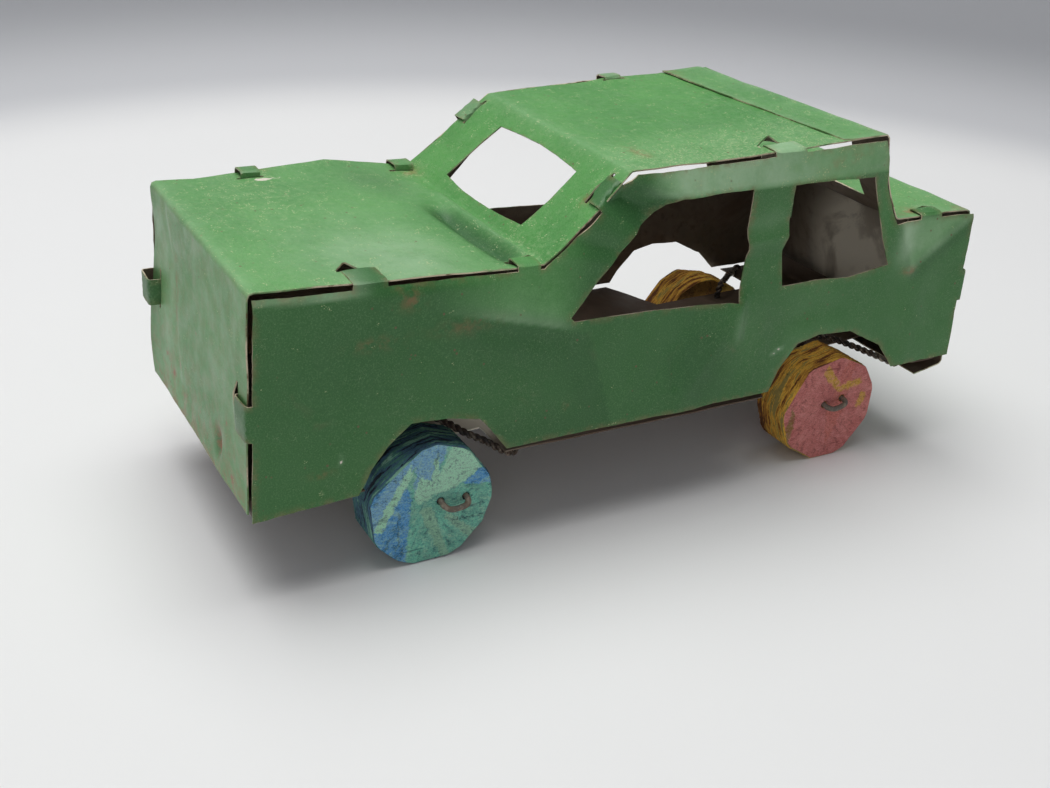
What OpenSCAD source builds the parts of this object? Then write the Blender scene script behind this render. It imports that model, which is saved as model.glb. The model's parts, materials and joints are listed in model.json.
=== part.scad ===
// Hand-made toy saloon car, cut and bent from reclaimed tin sheet.
// Two bent sheets make the nose-to-roof skin and the tail skin. Two flat sides close the body, held on
// by tabs that pass through slits. Four knife-carved foam wheels turn on two wire axles, each axle slung
// under the floor pan in two twisted-wire hangers.
// +Z is up, the nose points to -Y, +X is the car's left. The origin is on the ground, below the middle.

/* [Body] */
// Length over the nose and the tail tabs
body_length = 235; // [225:1:245]
// Width over the two side panels
body_width = 95; // [92:1:100]
// Height of the roof above the ground
body_height = 108; // [105:1:112]
// Thickness of the tin sheet
sheet_t = 0.4; // [0.3:0.1:0.6]
// Gap between a skin's edge and the side panel beside it
skin_gap = 1.2; // [0.8:0.1:1.6]
// Outside radius of the folds in the skins
fold_r = 1.6; // [1:0.1:2.5]

/* [Heights] */
// Top edge of the nose
nose_z = 87.2; // [84:0.2:90]
// Foot of the windscreen
cowl_z = 82.6; // [80:0.2:84]
// Front edge of the roof
roof_front_z = 105; // [102:0.5:106]
// Boot lid
boot_z = 79.8; // [77:0.2:82]
// Bottom edge of the sides between the wheels
sill_z = 31.2; // [30:0.2:33]
// Bottom edge of the sides at the nose
chin_z = 25; // [24:0.2:27]

/* [Cabin] */
// Foot of the windscreen, along the car
cowl_y = -34.5; // [-38:0.5:-32]
// Front edge of the roof, along the car
roof_front_y = -8; // [-11:0.5:-5]
// Rear edge of the roof, along the car
roof_rear_y = 77; // [74:0.5:79]
// Foot of the rear window, along the car
boot_front_y = 87; // [85:0.5:89]
// Width of the roof over the side panels
roof_width = 89; // [86:0.5:92]

/* [Wheels] */
// Diameter of the front wheels before their flats are cut
front_wheel_d = 37.2; // [36:0.2:38]
// Diameter of the rear wheels before their flats are cut
rear_wheel_d = 36; // [35:0.2:37]
// Thickness of a wheel
wheel_w = 14; // [12:0.5:15]
// Depth of the flats cut round a wheel's rim
flat_depth = 0.6; // [0.4:0.1:0.8]
// Front axle, along the car
front_axle_y = -66.4; // [-68:0.2:-65]
// Rear axle, along the car
rear_axle_y = 74.4; // [73:0.2:76]
// Distance from the middle of the car to a front wheel's outer face
front_face_x = 46.4; // [45.5:0.1:46.8]
// Distance from the middle of the car to a rear wheel's outer face
rear_face_x = 42.6; // [41.5:0.1:44]

/* [Wire] */
// Diameter of the axle wire
axle_d = 1.7; // [1.4:0.1:2]
// Diameter of the hanger wire
hanger_d = 1.2; // [1:0.1:1.4]
// How far the hooked end of an axle stands out from its wheel
hook_out = 3.6; // [3:0.1:4]
// Distance between the two holes in a wheel
hook_pitch = 7.6; // [6.5:0.1:9]

/* [Tabs] */
// How high a tab's outer face lies above the skin that it crosses
tab_lift = 0.7; // [0.7:0.1:1.2]
// How far a tab's end reaches through the skin
tab_end = 3; // [2:0.5:4]

/* [Hidden] */
$fn = 48;

paint = "#3f7a45";
bare_tin = "#a08c78";
rusty_wire = "#5a4a3c";
blue_foam = "#3f86b0";
pink_foam = "#c8626a";
ochre_foam = "#a8782c";

reach = 2 * body_length;
nose_y = -body_length / 2;
tail_y = body_length / 2 - tab_lift;
roof_rear_z = body_height - sheet_t;
side_x = body_width / 2;
skin_inset = sheet_t + skin_gap;
fold_steps = 5;

front_axle_z = front_wheel_d / 2 - flat_depth;
rear_axle_z = rear_wheel_d / 2 - flat_depth;

// Outer face of the front skin as [y, z], from the chin up the nose and back along the roof. It stops just
// ahead of the fold that the tail skin makes over it.
nose_foot = [nose_y, chin_z + 2];
nose_top = [nose_y + 3, nose_z];
cowl = [cowl_y, cowl_z];
roof_front = [roof_front_y, roof_front_z];
roof_rear = [roof_rear_y - sheet_t, roof_rear_z];
fold_room = fold_r + 0.6;
roof_end = roof_rear - fold_room * unit(roof_rear - roof_front);
front_path = [nose_foot, nose_top, cowl, roof_front, roof_end];

// Inner face of the tail skin as [y, z]: it laps the roof, drops to the boot and turns under the tail.
lap_length = 19;
lap_front = roof_rear + lap_length * unit(roof_front - roof_rear);
tail_roof = roof_rear + sheet_t * unit(roof_rear - roof_front);
boot_front = [boot_front_y, boot_z];
boot_rear = [tail_y - sheet_t, boot_z];
tail_foot = [tail_y - sheet_t, sill_z - 4];
tail_lip = [tail_y - 14, sill_z - 6];
tail_path = [lap_front, tail_roof, boot_front, boot_rear, tail_foot, tail_lip];

// Outer face of a side panel as [x, z]: upright to the shoulder, then leaning in to the roof rail.
shoulder_z = 86;
rail_z = 95;
rail_x = side_x - 1.2;
side_section = [[side_x, 0], [side_x, shoulder_z], [rail_x, rail_z], [roof_width / 2, body_height]];

// Ends of the wheel arches at the sill, measured from their axle.
arch_front = 21.4;
arch_rear = 22;
rear_arch_front = 30;
rear_arch_rear = 18.5;

// Outline of a side panel as [y, z].
edge_drop = 0.7;
sill_start_y = front_axle_y + arch_rear;
side_outline = [
    [nose_y + 1, chin_z], [nose_y + 4, nose_z - 1.2], [cowl_y, cowl_z - edge_drop],
    [roof_front_y + 1, roof_front_z - edge_drop], [roof_rear_y, roof_rear_z - 1.4],
    [boot_front_y, boot_z - edge_drop], [tail_y, boot_z - edge_drop], [tail_y, sill_z],
    [sill_start_y, sill_z], [front_axle_y - arch_front, chin_z + 1.6]];

// Wheel arches as [y, z], measured from their axle.
front_arch = [[-arch_front, -reach], [-arch_front, 8.4], [-17.6, 15.6], [-13, 21.2], [-6.2, 26.4],
              [9.8, 25], [15, 19.8], [arch_rear, 13], [arch_rear, -reach]];
rear_arch = [[-rear_arch_front, -reach], [-rear_arch_front, 14], [-27, 20.4], [-20.4, 28.2], [-13, 30],
             [-1, 29.4], [12, 22.4], [rear_arch_rear, 14], [rear_arch_rear, -reach]];

// Side windows as [y, z].
front_window = [[-25, 65.8], [-26.3, 67], [-18.3, 77.2], [-7, 89], [-1.5, 93], [6.5, 95.4],
                [29, 96], [29.6, 79.2], [28, 63.6], [-1.4, 65.2]];
rear_window = [[44.4, 65.8], [43.2, 77.4], [43.6, 95.6], [75, 94.6], [79.6, 85], [82, 75.3],
               [85, 66.8], [69.8, 64.9]];

// Windscreen and back window as [x, distance up or down the panel from its foot or its top].
windscreen = [[-24.5, 5.6], [0, 4.2], [24, 5.6], [25.2, 16], [24.6, 26.8], [0, 28.4], [-22.5, 27.4],
              [-24, 16]];
back_window = [[-30, 5], [30, 5], [32, 24], [-32, 24]];

// Tabs: [panel's first point, its second, place along the panel, width, side's x there, slit's x, lift].
// The places are measured along the panel from its first point.
nose_tab = [nose_foot, nose_top, 28, 11, side_x, 38, tab_lift];
bonnet_tab = [nose_top, cowl, 30.5, 9, side_x, 37.5, tab_lift];
cowl_tab = [nose_top, cowl, 75, 6.5, side_x, 40, tab_lift];
pillar_tab = [cowl, roof_front, 26, 9.5, rail_x - 0.4, 38.2, tab_lift];
roof_tab = [roof_front, roof_rear, 50, 11, roof_width / 2 + 0.2, 39.5, tab_lift];
boot_tab = [boot_front, boot_rear, 15, 8, side_x, 40, tab_lift + sheet_t];
tail_tab = [boot_rear, tail_foot, 24, 10, side_x, 38, tab_lift + sheet_t];
FRONT_TABS = [nose_tab, bonnet_tab, cowl_tab, pillar_tab, roof_tab];
TAIL_TABS = [boot_tab, tail_tab];
slit_play = 0.4;

// Floor pan: its lower face as [y, z], and the wheel wells cut into its edges.
floor_lip = 6;
floor_side_gap = 0.3;
floor_path = [[nose_y + 1.2, chin_z + floor_lip], [nose_y + 1, chin_z], [sill_start_y, sill_z - 1.6],
              [tail_y - 4, sill_z - 1.2], [tail_y - 3.6, sill_z + floor_lip]];
well_gap = 1.8;
hanger_inset = 3.2;
hanger_run_r = hanger_d - 0.05;

// Turning clearance between the axle and a hanger's eye, and the axle's clearance in a wheel.
running_gap = 0.08;
wheel_gap = 0.05;

// The flats round a wheel: their number, and how unevenly the knife placed and cut them.
flat_count = 9;
flat_wander = 9;
flat_spread = 0.5;

function unit(v) = v / norm(v);
function left_of(v) = [-v.y, v.x];
function flip(list) = [for (i = [len(list) - 1 : -1 : 0]) list[i]];

// A path with each inner corner rounded to radius r.
function arc_corner(a, b, c, r) =
    let (u = unit(a - b), v = unit(c - b), turn = acos(max(-1, min(1, u * v))),
         back = r / tan(turn / 2), p = b + back * u, q = b + back * v,
         mid = b + unit(u + v) * r / sin(turn / 2))
    [for (i = [0 : fold_steps])
        mid + r * unit((p - mid) * (1 - i / fold_steps) + (q - mid) * i / fold_steps)];
function rounded(path, r) = concat(
    [path[0]],
    [for (i = [1 : len(path) - 2]) each arc_corner(path[i - 1], path[i], path[i + 1], r)],
    [path[len(path) - 1]]);

// The path moved by t to its left, with mitred corners.
function edge_dir(path, i) = unit(path[min(i + 1, len(path) - 1)] - path[min(i, len(path) - 2)]);
function moved(path, t) = [for (i = [0 : len(path) - 1])
    let (n1 = left_of(edge_dir(path, max(i - 1, 0))), n2 = left_of(edge_dir(path, i)))
    path[i] + t * (n1 + n2) / (1 + n1 * n2)];
function band(path, t) = concat(path, flip(moved(path, t)));

// A [y, z] outline made solid along X, and an [x, z] outline made solid along Y.
module along_x(h) { rotate([90, 0, 90]) linear_extrude(h, center = true) children(); }
module along_y(h) { rotate([90, 0, 0]) linear_extrude(h, center = true) children(); }

// Local frame of a panel between two [y, z] points: Y runs along it and Z stands out of it.
module on_panel(a, b) {
    translate([0, a.x, a.y])
        rotate([atan2(b.y - a.y, b.x - a.x), 0, 0])
            children();
}

// The space between the two side panels, narrower than them by the inset.
module between_sides(inset) {
    right_half = [for (p = side_section) [p.x - inset, p.y]];
    along_y(reach) polygon(concat(right_half, flip([for (p = right_half) [-p.x, p.y]])));
}

module bent_sheet(path, t) {
    along_x(reach) polygon(band(rounded(path, fold_r), t));
}

// One tab, bent from the side panel's edge over the skin and down through its slit.
module tab(t) {
    edge_x = t[4];
    slit_x = t[5];
    lift = t[6];
    bend = [[edge_x, -2.6], [edge_x, lift], [slit_x, lift], [slit_x, -tab_end]];
    on_panel(t[0], t[1]) translate([0, t[2], 0]) along_y(t[3]) polygon(band(bend, sheet_t));
}

// The slits, one on each side of the car, that a tab passes through.
module slits(t) {
    for (side = [-1, 1])
        on_panel(t[0], t[1])
            translate([side * (t[5] + sheet_t / 2), t[2], 0])
                cube([sheet_t + 2 * slit_play, t[3] + 2 * slit_play, 4], center = true);
}

module front_skin() {
    color(paint) difference() {
        intersection() {
            bent_sheet(front_path, -sheet_t);
            between_sides(skin_inset);
        }
        on_panel(cowl, roof_front) linear_extrude(8, center = true) polygon(windscreen);
        for (t = FRONT_TABS) slits(t);
    }
}

module tail_skin() {
    color(paint) difference() {
        intersection() {
            bent_sheet(tail_path, sheet_t);
            between_sides(skin_inset);
        }
        on_panel(tail_roof, boot_front) linear_extrude(8, center = true) polygon(back_window);
        for (t = TAIL_TABS) slits(t);
    }
}

module side_panel() {
    intersection() {
        along_y(reach) polygon(band(side_section, sheet_t));
        along_x(reach) difference() {
            polygon(side_outline);
            polygon(front_window);
            polygon(rear_window);
            translate([front_axle_y, front_axle_z]) polygon(front_arch);
            translate([rear_axle_y, rear_axle_z]) polygon(rear_arch);
        }
    }
    for (t = concat(FRONT_TABS, TAIL_TABS)) tab(t);
}

module left_side() { color(paint) side_panel(); }
module right_side() { color(paint) mirror([1, 0, 0]) side_panel(); }

// Cut a wheel well into both edges of the floor pan.
module wells(axle_y, face_x, ahead, behind) {
    inner_x = face_x - wheel_w - well_gap;
    for (side = [-1, 1])
        translate([side * (inner_x + reach / 2), axle_y + (behind - ahead) / 2, 0])
            cube([reach, ahead + behind, 3 * sill_z], center = true);
}

// Height of the floor pan's upper face at a place along the car.
function floor_z(y) = lookup(y, [for (i = [1 : 3]) [floor_path[i].x, floor_path[i].y + sheet_t]]);

module floor_pan() {
    color(bare_tin) difference() {
        intersection() {
            bent_sheet(floor_path, sheet_t);
            between_sides(sheet_t + floor_side_gap);
        }
        wells(front_axle_y, front_face_x, arch_front - 2, arch_rear);
        wells(rear_axle_y, rear_face_x, rear_arch_rear + 2, rear_arch_rear);
        for (side = [-1, 1]) {
            hanger_holes(front_axle_y, front_axle_z, side * hanger_x(front_face_x));
            hanger_holes(rear_axle_y, rear_axle_z, side * hanger_x(rear_face_x));
        }
    }
}

// A hanger's eye lies just inside its wheel. Its run of twisted wire rises through the floor pan, goes
// back past the wheel and drops through the floor pan again beside the sill.
function hanger_x(face_x) = face_x - wheel_w - well_gap - hanger_inset;
tie_x = side_x - 3.4;
function hanger_path(y, z, x) = [
    [x, y, z + 1.6], [x, y, floor_z(y) + 5.6], [x + 1, y + 12.5, floor_z(y) + 6.4],
    [tie_x, y + 23, floor_z(y) + 3.4], [tie_x, y + 25.6, floor_z(y) + 2], [tie_x, y + 25.6, floor_z(y) - 1]];

module hanger_holes(y, z, x) {
    side = sign(x);
    for (p = [[x, y], [side * tie_x, y + 25.6]])
        translate([p.x, p.y, 0]) cylinder(r = hanger_run_r + 0.4, h = 2 * sill_z);
}

// Round wire that follows a path of [x, y, z] points, as a closed tube with flat sides.
wire_sides = 8;
function heading(path, i) =
    let (last = len(path) - 1, ahead = path[min(i + 1, last)] - path[min(i, last - 1)],
         behind = path[max(i, 1)] - path[max(i - 1, 0)])
    unit(unit(ahead) + unit(behind));
function ring(path, i, r) =
    let (d = heading(path, i), u = unit(cross(d, [1, 0, 0])), v = cross(d, u), step = 360 / wire_sides)
    [for (k = [0 : wire_sides - 1]) path[i] + r * (cos(k * step) * u + sin(k * step) * v)];
module wire_run(path, r) {
    rings = len(path);
    points = [for (i = [0 : rings - 1]) each ring(path, i, r)];
    walls = [for (i = [0 : rings - 2], k = [0 : wire_sides - 1])
        let (a = i * wire_sides, next = (k + 1) % wire_sides)
        each [[a + k, a + wire_sides + next, a + next], [a + k, a + wire_sides + k, a + wire_sides + next]]];
    caps = [[for (k = [0 : wire_sides - 1]) k],
            flip([for (k = [0 : wire_sides - 1]) (rings - 1) * wire_sides + k])];
    polyhedron(points, concat(walls, caps));
}

module hanger(y, z, face_x) {
    x = hanger_x(face_x);
    path = hanger_path(y, z, x);
    eye_r = axle_d / 2 + running_gap + hanger_run_r;
    translate([x, y, z]) rotate([0, 90, 0]) rotate_extrude() translate([eye_r, 0]) circle(hanger_run_r);
    wire_run(path, hanger_run_r);
}

module front_hanger() { hanger(front_axle_y, front_axle_z, front_face_x); }
module rear_hanger() { hanger(rear_axle_y, rear_axle_z, rear_face_x); }

module front_left_hanger() { color(rusty_wire) front_hanger(); }
module front_right_hanger() { color(rusty_wire) mirror([1, 0, 0]) front_hanger(); }
module rear_left_hanger() { color(rusty_wire) rear_hanger(); }
module rear_right_hanger() { color(rusty_wire) mirror([1, 0, 0]) rear_hanger(); }

// Half of an axle: the shaft from the middle, then the hook that locks the wheel to it. The hook turns
// back on itself and enters the wheel's second hole.
hook_bend = 1.7;
hook_depth = 7;
// The bends are a little thicker than the wire, and its straights run on into them.
bend_swell = 0.03;
run_on = 0.2;
module hook_elbow() {
    rotate_extrude(angle = 90) translate([hook_bend, 0]) circle(axle_d / 2 + bend_swell);
}
module half_axle(face_x, hook_turn) {
    wire_r = axle_d / 2;
    out_x = face_x + hook_out - wire_r - bend_swell;
    straight_x = out_x - hook_bend + run_on;
    rotate([0, 90, 0]) cylinder(r = wire_r, h = straight_x);
    rotate([hook_turn, 0, 0]) {
        translate([out_x - hook_bend, hook_bend, 0]) rotate([0, 0, -90]) hook_elbow();
        translate([out_x, hook_bend - run_on, 0])
            rotate([-90, 0, 0]) cylinder(r = wire_r, h = hook_pitch - 2 * (hook_bend - run_on));
        translate([out_x - hook_bend, hook_pitch - hook_bend, 0]) hook_elbow();
        translate([face_x - hook_depth, hook_pitch, 0])
            rotate([0, 90, 0]) cylinder(r = wire_r, h = straight_x - face_x + hook_depth);
    }
}

module wire_axle(y, z, face_x, left_turn, right_turn) {
    color(rusty_wire) translate([0, y, z]) {
        half_axle(face_x, left_turn);
        mirror([1, 0, 0]) half_axle(face_x, right_turn);
    }
}

FRONT_LEFT_TURN = -2;
FRONT_RIGHT_TURN = 140;
REAR_LEFT_TURN = 8;
REAR_RIGHT_TURN = -75;

module front_axle() {
    wire_axle(front_axle_y, front_axle_z, front_face_x, FRONT_LEFT_TURN, FRONT_RIGHT_TURN);
}
module rear_axle() {
    wire_axle(rear_axle_y, rear_axle_z, rear_face_x, REAR_LEFT_TURN, REAR_RIGHT_TURN);
}

// A wheel on the car's left: a disc with uneven flats, the first of them on the ground, and two holes.
module carved_wheel(r, y, z, face_x, hook_turn, seed) {
    translate([face_x - wheel_w, y, z]) difference() {
        rotate([0, 90, 0]) cylinder(r = r, h = wheel_w);
        for (k = [0 : flat_count - 1])
            rotate([360 * k / flat_count + flat_wander * sin(k * seed), 0, 0])
                translate([-1, -r, -2 * r + flat_depth * (1 + flat_spread * sin(k * (seed + 40)))])
                    cube([wheel_w + 2, 2 * r, r]);
        rotate([0, 90, 0]) translate([0, 0, -1]) cylinder(r = axle_d / 2 + wheel_gap, h = wheel_w + 2);
        rotate([hook_turn, 0, 0]) translate([wheel_w - hook_depth - 0.5, hook_pitch, 0])
            rotate([0, 90, 0]) cylinder(r = axle_d / 2 + wheel_gap, h = hook_depth + 2);
    }
}

module front_left_wheel() {
    color(blue_foam)
        carved_wheel(front_wheel_d / 2, front_axle_y, front_axle_z, front_face_x, FRONT_LEFT_TURN, 131);
}
module front_right_wheel() {
    color(ochre_foam) mirror([1, 0, 0])
        carved_wheel(front_wheel_d / 2, front_axle_y, front_axle_z, front_face_x, FRONT_RIGHT_TURN, 83);
}
module rear_left_wheel() {
    color(pink_foam)
        carved_wheel(rear_wheel_d / 2, rear_axle_y, rear_axle_z, rear_face_x, REAR_LEFT_TURN, 59);
}
module rear_right_wheel() {
    color(ochre_foam) mirror([1, 0, 0])
        carved_wheel(rear_wheel_d / 2, rear_axle_y, rear_axle_z, rear_face_x, REAR_RIGHT_TURN, 167);
}

front_skin();
tail_skin();
left_side();
right_side();
floor_pan();
front_axle();
rear_axle();
front_left_wheel();
front_right_wheel();
rear_left_wheel();
rear_right_wheel();
front_left_hanger();
front_right_hanger();
rear_left_hanger();
rear_right_hanger();
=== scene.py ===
"""Looks of a hand-made tin toy saloon car: dented painted sheets, carved foam wheels and rusty wire.

Everything is built in millimetres and scaled to metres when its mesh is made. +Z is up, the nose
points to -Y and +X is the car's left, as in the CAD frame.
"""

import json
import math
from functools import reduce

import bpy
import numpy as np
from mathutils import Matrix, Vector
from mathutils.geometry import delaunay_2d_cdt


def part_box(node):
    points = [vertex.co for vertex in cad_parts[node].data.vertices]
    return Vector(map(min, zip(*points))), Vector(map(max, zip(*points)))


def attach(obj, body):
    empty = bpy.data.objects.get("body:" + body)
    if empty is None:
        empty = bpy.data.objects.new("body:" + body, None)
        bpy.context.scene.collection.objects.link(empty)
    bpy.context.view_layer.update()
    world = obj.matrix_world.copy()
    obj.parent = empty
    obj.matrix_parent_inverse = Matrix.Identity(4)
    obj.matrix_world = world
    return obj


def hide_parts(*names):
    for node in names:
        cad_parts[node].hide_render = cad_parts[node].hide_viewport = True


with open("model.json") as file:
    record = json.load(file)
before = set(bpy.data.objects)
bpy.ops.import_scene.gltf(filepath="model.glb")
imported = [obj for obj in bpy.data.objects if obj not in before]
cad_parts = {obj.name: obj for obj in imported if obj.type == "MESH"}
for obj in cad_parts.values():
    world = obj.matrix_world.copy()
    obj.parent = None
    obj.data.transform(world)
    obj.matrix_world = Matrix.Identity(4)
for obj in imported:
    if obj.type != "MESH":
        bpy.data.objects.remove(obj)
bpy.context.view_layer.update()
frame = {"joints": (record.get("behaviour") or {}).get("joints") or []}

MM = 0.001
DRAWS = np.random.default_rng(11)

# ---- sizes, from the frame where it has them


def cad_corner(node, end):
    """The lowest (0) or the highest (1) corner of a CAD node."""
    return [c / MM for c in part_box(node)[end]]


def axle_of(joint_name):
    """Place of a wheel axle as (y, z)."""
    position = next(j["pos_m"] for j in frame["joints"] if j["name"] == joint_name)
    return position[1] / MM, position[2] / MM


SHEET_T = 0.4
SIDE_X = 47.5
NOSE_Y = cad_corner("front_skin", 0)[1]
TAIL_Y, ROOF_Z = cad_corner("tail_skin", 1)[1:]
SKIN_X = 45.9
SILL_Z = 31.2
CHIN_Z = 25.0
FOLD_R = 1.6
FRONT_AXLE = axle_of("front_axle_spin")
REAR_AXLE = axle_of("rear_axle_spin")

# Outer face of the front skin as (y, z): chin, top of the nose, foot of the windscreen, roof.
NOSE_FOOT = (NOSE_Y, CHIN_Z + 2)
NOSE_TOP = (NOSE_Y + 3, 87.2)
COWL = (-34.5, 82.6)
ROOF_FRONT = (-8, 105)
ROOF_END = (74.4, ROOF_Z - 0.5)

# Outer face of the tail skin as (y, z): it laps the roof, drops to the boot lid and turns under the tail.
LAP_FRONT = (57.6, ROOF_Z - 0.75)
TAIL_ROOF = (77.2, ROOF_Z)
BOOT_FRONT = (87.3, 80.2)
BOOT_REAR = (TAIL_Y, 80.2)
TAIL_FOOT = (TAIL_Y, 27)
TAIL_LIP = (105.6, 25.2)

# Wheel arches as (y, z) from their axle, front end first. The right side's are cut lower and closer.
FRONT_ARCH = [(-21.4, 8.6), (-17.6, 15.6), (-13, 21.2), (-6.2, 26.4), (4, 26), (13.6, 24), (17.4, 19.4),
              (22, 13.2)]
REAR_ARCH = [(-30, 14), (-27, 20.4), (-20.4, 28.2), (-13, 30), (-1, 29.4), (12, 22.4), (18.5, 13.8)]
FAR_FRONT_ARCH = [(-18.8, 8.6), (-15.5, 15.2), (-11.6, 19.8), (-5.4, 24.2), (10, 23), (15, 18), (20, 13.2)]
FAR_REAR_ARCH = [(-29, 14), (-26, 18.4), (-19.6, 24.9), (-12, 26.5), (-2, 26), (8.6, 20.6), (15, 13.8)]

# Side windows as (y, z).
FRONT_WINDOW = [(-25, 65.8), (-1.4, 65.2), (28, 63.6), (29.4, 70), (30.2, 79), (29, 83), (29, 97.2),
                (18, 97.4), (6.5, 96.8), (1.5, 95.4), (-1.5, 93.6), (-7, 89), (-18.3, 77.2), (-26.3, 67)]
REAR_WINDOW = [(44.4, 65.8), (57, 65.9), (69.8, 64.9), (80, 66.2), (84.6, 66.8), (80.8, 75.3), (77.6, 85),
               (73.6, 95.8), (58, 96.8), (43.6, 96.8), (43.4, 82), (42.6, 77.4)]

# Windscreen and back window as (x, distance along the panel from its foot or its top).
WINDSCREEN = [(-24.5, 5.6), (-12, 4.4), (0, 4.2), (12, 4.6), (24, 5.6), (25.2, 16), (24.6, 26.8), (12, 28),
              (0, 28.6), (-12, 28.2), (-22.5, 27.4), (-24, 16)]
BACK_WINDOW = [(-30, 24), (-30, 5), (31, 5), (33, 24)]

# Tabs of a side panel: edge of its outline, distance along the edge, width, x of its slit, lift.
NEAR_TABS = [
    ("nose", 28, 10, 38, 0.9), ("bonnet", 30, 9.4, 37, 0.9), ("bonnet", 74.6, 6.6, 40, 0.9),
    ("pillar", 26, 9.5, 38.2, 0.9), ("roof", 49, 10.6, 40, 0.45), ("boot", 14.6, 8, 40, 0.9),
    ("tail", 24, 10, 38, 1.1)]
FAR_TABS = [
    ("nose", 31, 8, 38, 3.2), ("bonnet", 27, 6, 40, 3.5), ("bonnet", 76, 6.4, 40, 2.7),
    ("pillar", 27, 8, 39, 1.5), ("roof", 44, 6, 41, 1.1), ("boot", 14.6, 8, 40, 0.9),
    ("tail", 24, 10, 38, 1.1)]
TAB_END = 3
TAB_DROP = 0.7

# Flat-sided dents in the left side: the shoulder under the windscreen, the knocked-back top of the
# front pillar and the sheet below that shoulder.
SHOULDER = [(-66, 74.3), (-20, 61.6), (-16, 110), (-75, 110)]
PILLAR_TOP = [(-18.5, 97.5), (-5.5, 87), (9, 97.2), (-11, 104)]
UNDER_SHOULDER = [(-66, 74.3), (-75, 30), (-10, 30), (-20, 61.6)]

# Unevenness of the tin snips' cut, steps round a rounded corner, the longest step along a hole's edge, and
# the step and the number of the closer rows on each side of a fold.
SNIP_WOBBLE = 0.14
BEND_STEPS = 16
HOLE_STEP = 0.9
FOLD_STEP = 0.5
FOLD_ROWS = 5

# Wires: the axles' radius, the radius of the hangers' wire and of its twist, the twist's pitch, the radii of
# a hanger's eye and curl, and how far out an axle's hook may reach.
AXLE_R = 0.85
TWIST_R = 0.56
TWIST_PITCH = 4.2
EYE_R = 1.5
CURL_R = 1.3
HOOK_OUT_X = 49.05

# Wheels: x of the outer faces, radii before the flats are cut and width. Then the step of a face's mesh, the
# points round a rim, the number of flats, how far in a pared edge reaches, and the holes for the hooks.
FRONT_FACE_X = 46.4
REAR_FACE_X = 42.6
FRONT_WHEEL_R = 18.6
REAR_WHEEL_R = 18.0
WHEEL_W = 14
FACE_STEP = 0.62
RIM_POINTS = 200
FLAT_COUNT = 9
PARE_REACH = 5.5
HOLE_R = 1.2
HOLE_POINTS = 14
HOLE_DEPTHS = (0.0, 0.5, 3, 7)


# ---- plane geometry


def share(value):
    """The value, kept between 0 and 1."""
    return np.clip(value, 0, 1)


def unit(vector):
    """The vector at length 1."""
    return vector / np.linalg.norm(vector)


def units(vectors):
    """Each row at length 1."""
    return vectors / np.maximum(np.linalg.norm(vectors, axis=1), 1e-9)[:, None]


class Track:
    """A bent line with rounded corners, followed by its own length."""

    def __init__(self, corners, radius, pitch=0.1):
        corners = [np.array(c, float) for c in corners]
        dense = [corners[0]]
        middles = []
        for before, corner, after in zip(corners, corners[1:], corners[2:]):
            u, v = unit(before - corner), unit(after - corner)
            half_turn = math.acos(float(np.clip(u @ v, -1, 1))) / 2
            middle = corner + unit(u + v) * radius / math.sin(half_turn)
            start, end = (corner + radius / math.tan(half_turn) * way - middle for way in (u, v))
            for i in range(BEND_STEPS + 1):
                dense.append(middle + radius * unit(start * (1 - i / BEND_STEPS) + end * i / BEND_STEPS))
            middles.append(len(dense) - 1 - BEND_STEPS // 2)
        dense = np.array(dense + [corners[-1]])
        run = path_length(dense)
        self.length = run[-1]
        self.folds = [run[i] for i in middles]
        self.s = np.linspace(0, run[-1], int(run[-1] / pitch) + 2)
        self.p = np.stack([np.interp(self.s, run, dense[:, k]) for k in (0, 1)], 1)
        slope = units(np.gradient(self.p, self.s, axis=0))
        self.n = np.stack([-slope[:, 1], slope[:, 0]], 1)

    def at(self, s):
        return [np.interp(s, self.s, self.p[:, k]) for k in (0, 1)]

    def bent(self, u, s, height, back=0, up=0):
        """Points of a sheet that follows the line, raised to its left by a height and moved in y and z."""
        y, z = self.at(s)
        ny, nz = (np.interp(s, self.s, self.n[:, k]) for k in (0, 1))
        return np.stack([u, y + ny * height + back, z + nz * height + up], 1)


def path_length(points):
    """Distance along a line at each of its points."""
    return np.concatenate([[0], np.cumsum(np.linalg.norm(np.diff(points, axis=0), axis=1))])


def inside(points, loop):
    """Which points lie inside a closed outline."""
    found = np.zeros(len(points), bool)
    x, y = points[:, 0], points[:, 1]
    for (x0, y0), (x1, y1) in zip(loop, np.roll(loop, -1, axis=0)):
        if y0 != y1:
            found ^= ((y0 > y) != (y1 > y)) & (x < (x1 - x0) * (y - y0) / (y1 - y0) + x0)
    return found


def on_sheet(points, loops):
    """Which points lie inside the first outline and outside the others."""
    found = inside(points, loops[0])
    for hole in loops[1:]:
        found &= ~inside(points, hole)
    return found


def edge_distance(points, loops):
    """Distance from each point to the nearest of the outlines."""
    best = np.full(len(points), 1e9)
    for loop in loops:
        for a, b in zip(loop, np.roll(loop, -1, axis=0)):
            side = b - a
            along = share(((points - a) @ side) / max(side @ side, 1e-12))
            best = np.minimum(best, np.linalg.norm(points - a - along[:, None] * side, axis=1))
    return best


def divided(loop, step, wobble):
    """An outline cut into short steps, with the small unevenness of tin snips."""
    loop = np.array(loop, float)
    made = []
    for a, b in zip(loop, np.roll(loop, -1, axis=0)):
        length = np.linalg.norm(b - a)
        count = max(1, int(round(length / step)))
        side = (b - a) / max(length, 1e-9)
        across = np.array([-side[1], side[0]])
        drift = np.cumsum(DRAWS.normal(0, 1, count)) * wobble * 0.35
        drift -= np.linspace(0, drift[-1], count)
        for i in range(count):
            nudge = np.clip(drift[i], -2 * wobble, 2 * wobble) if i else 0
            made.append(a + (b - a) * i / count + across * nudge)
    return np.array(made)


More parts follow.
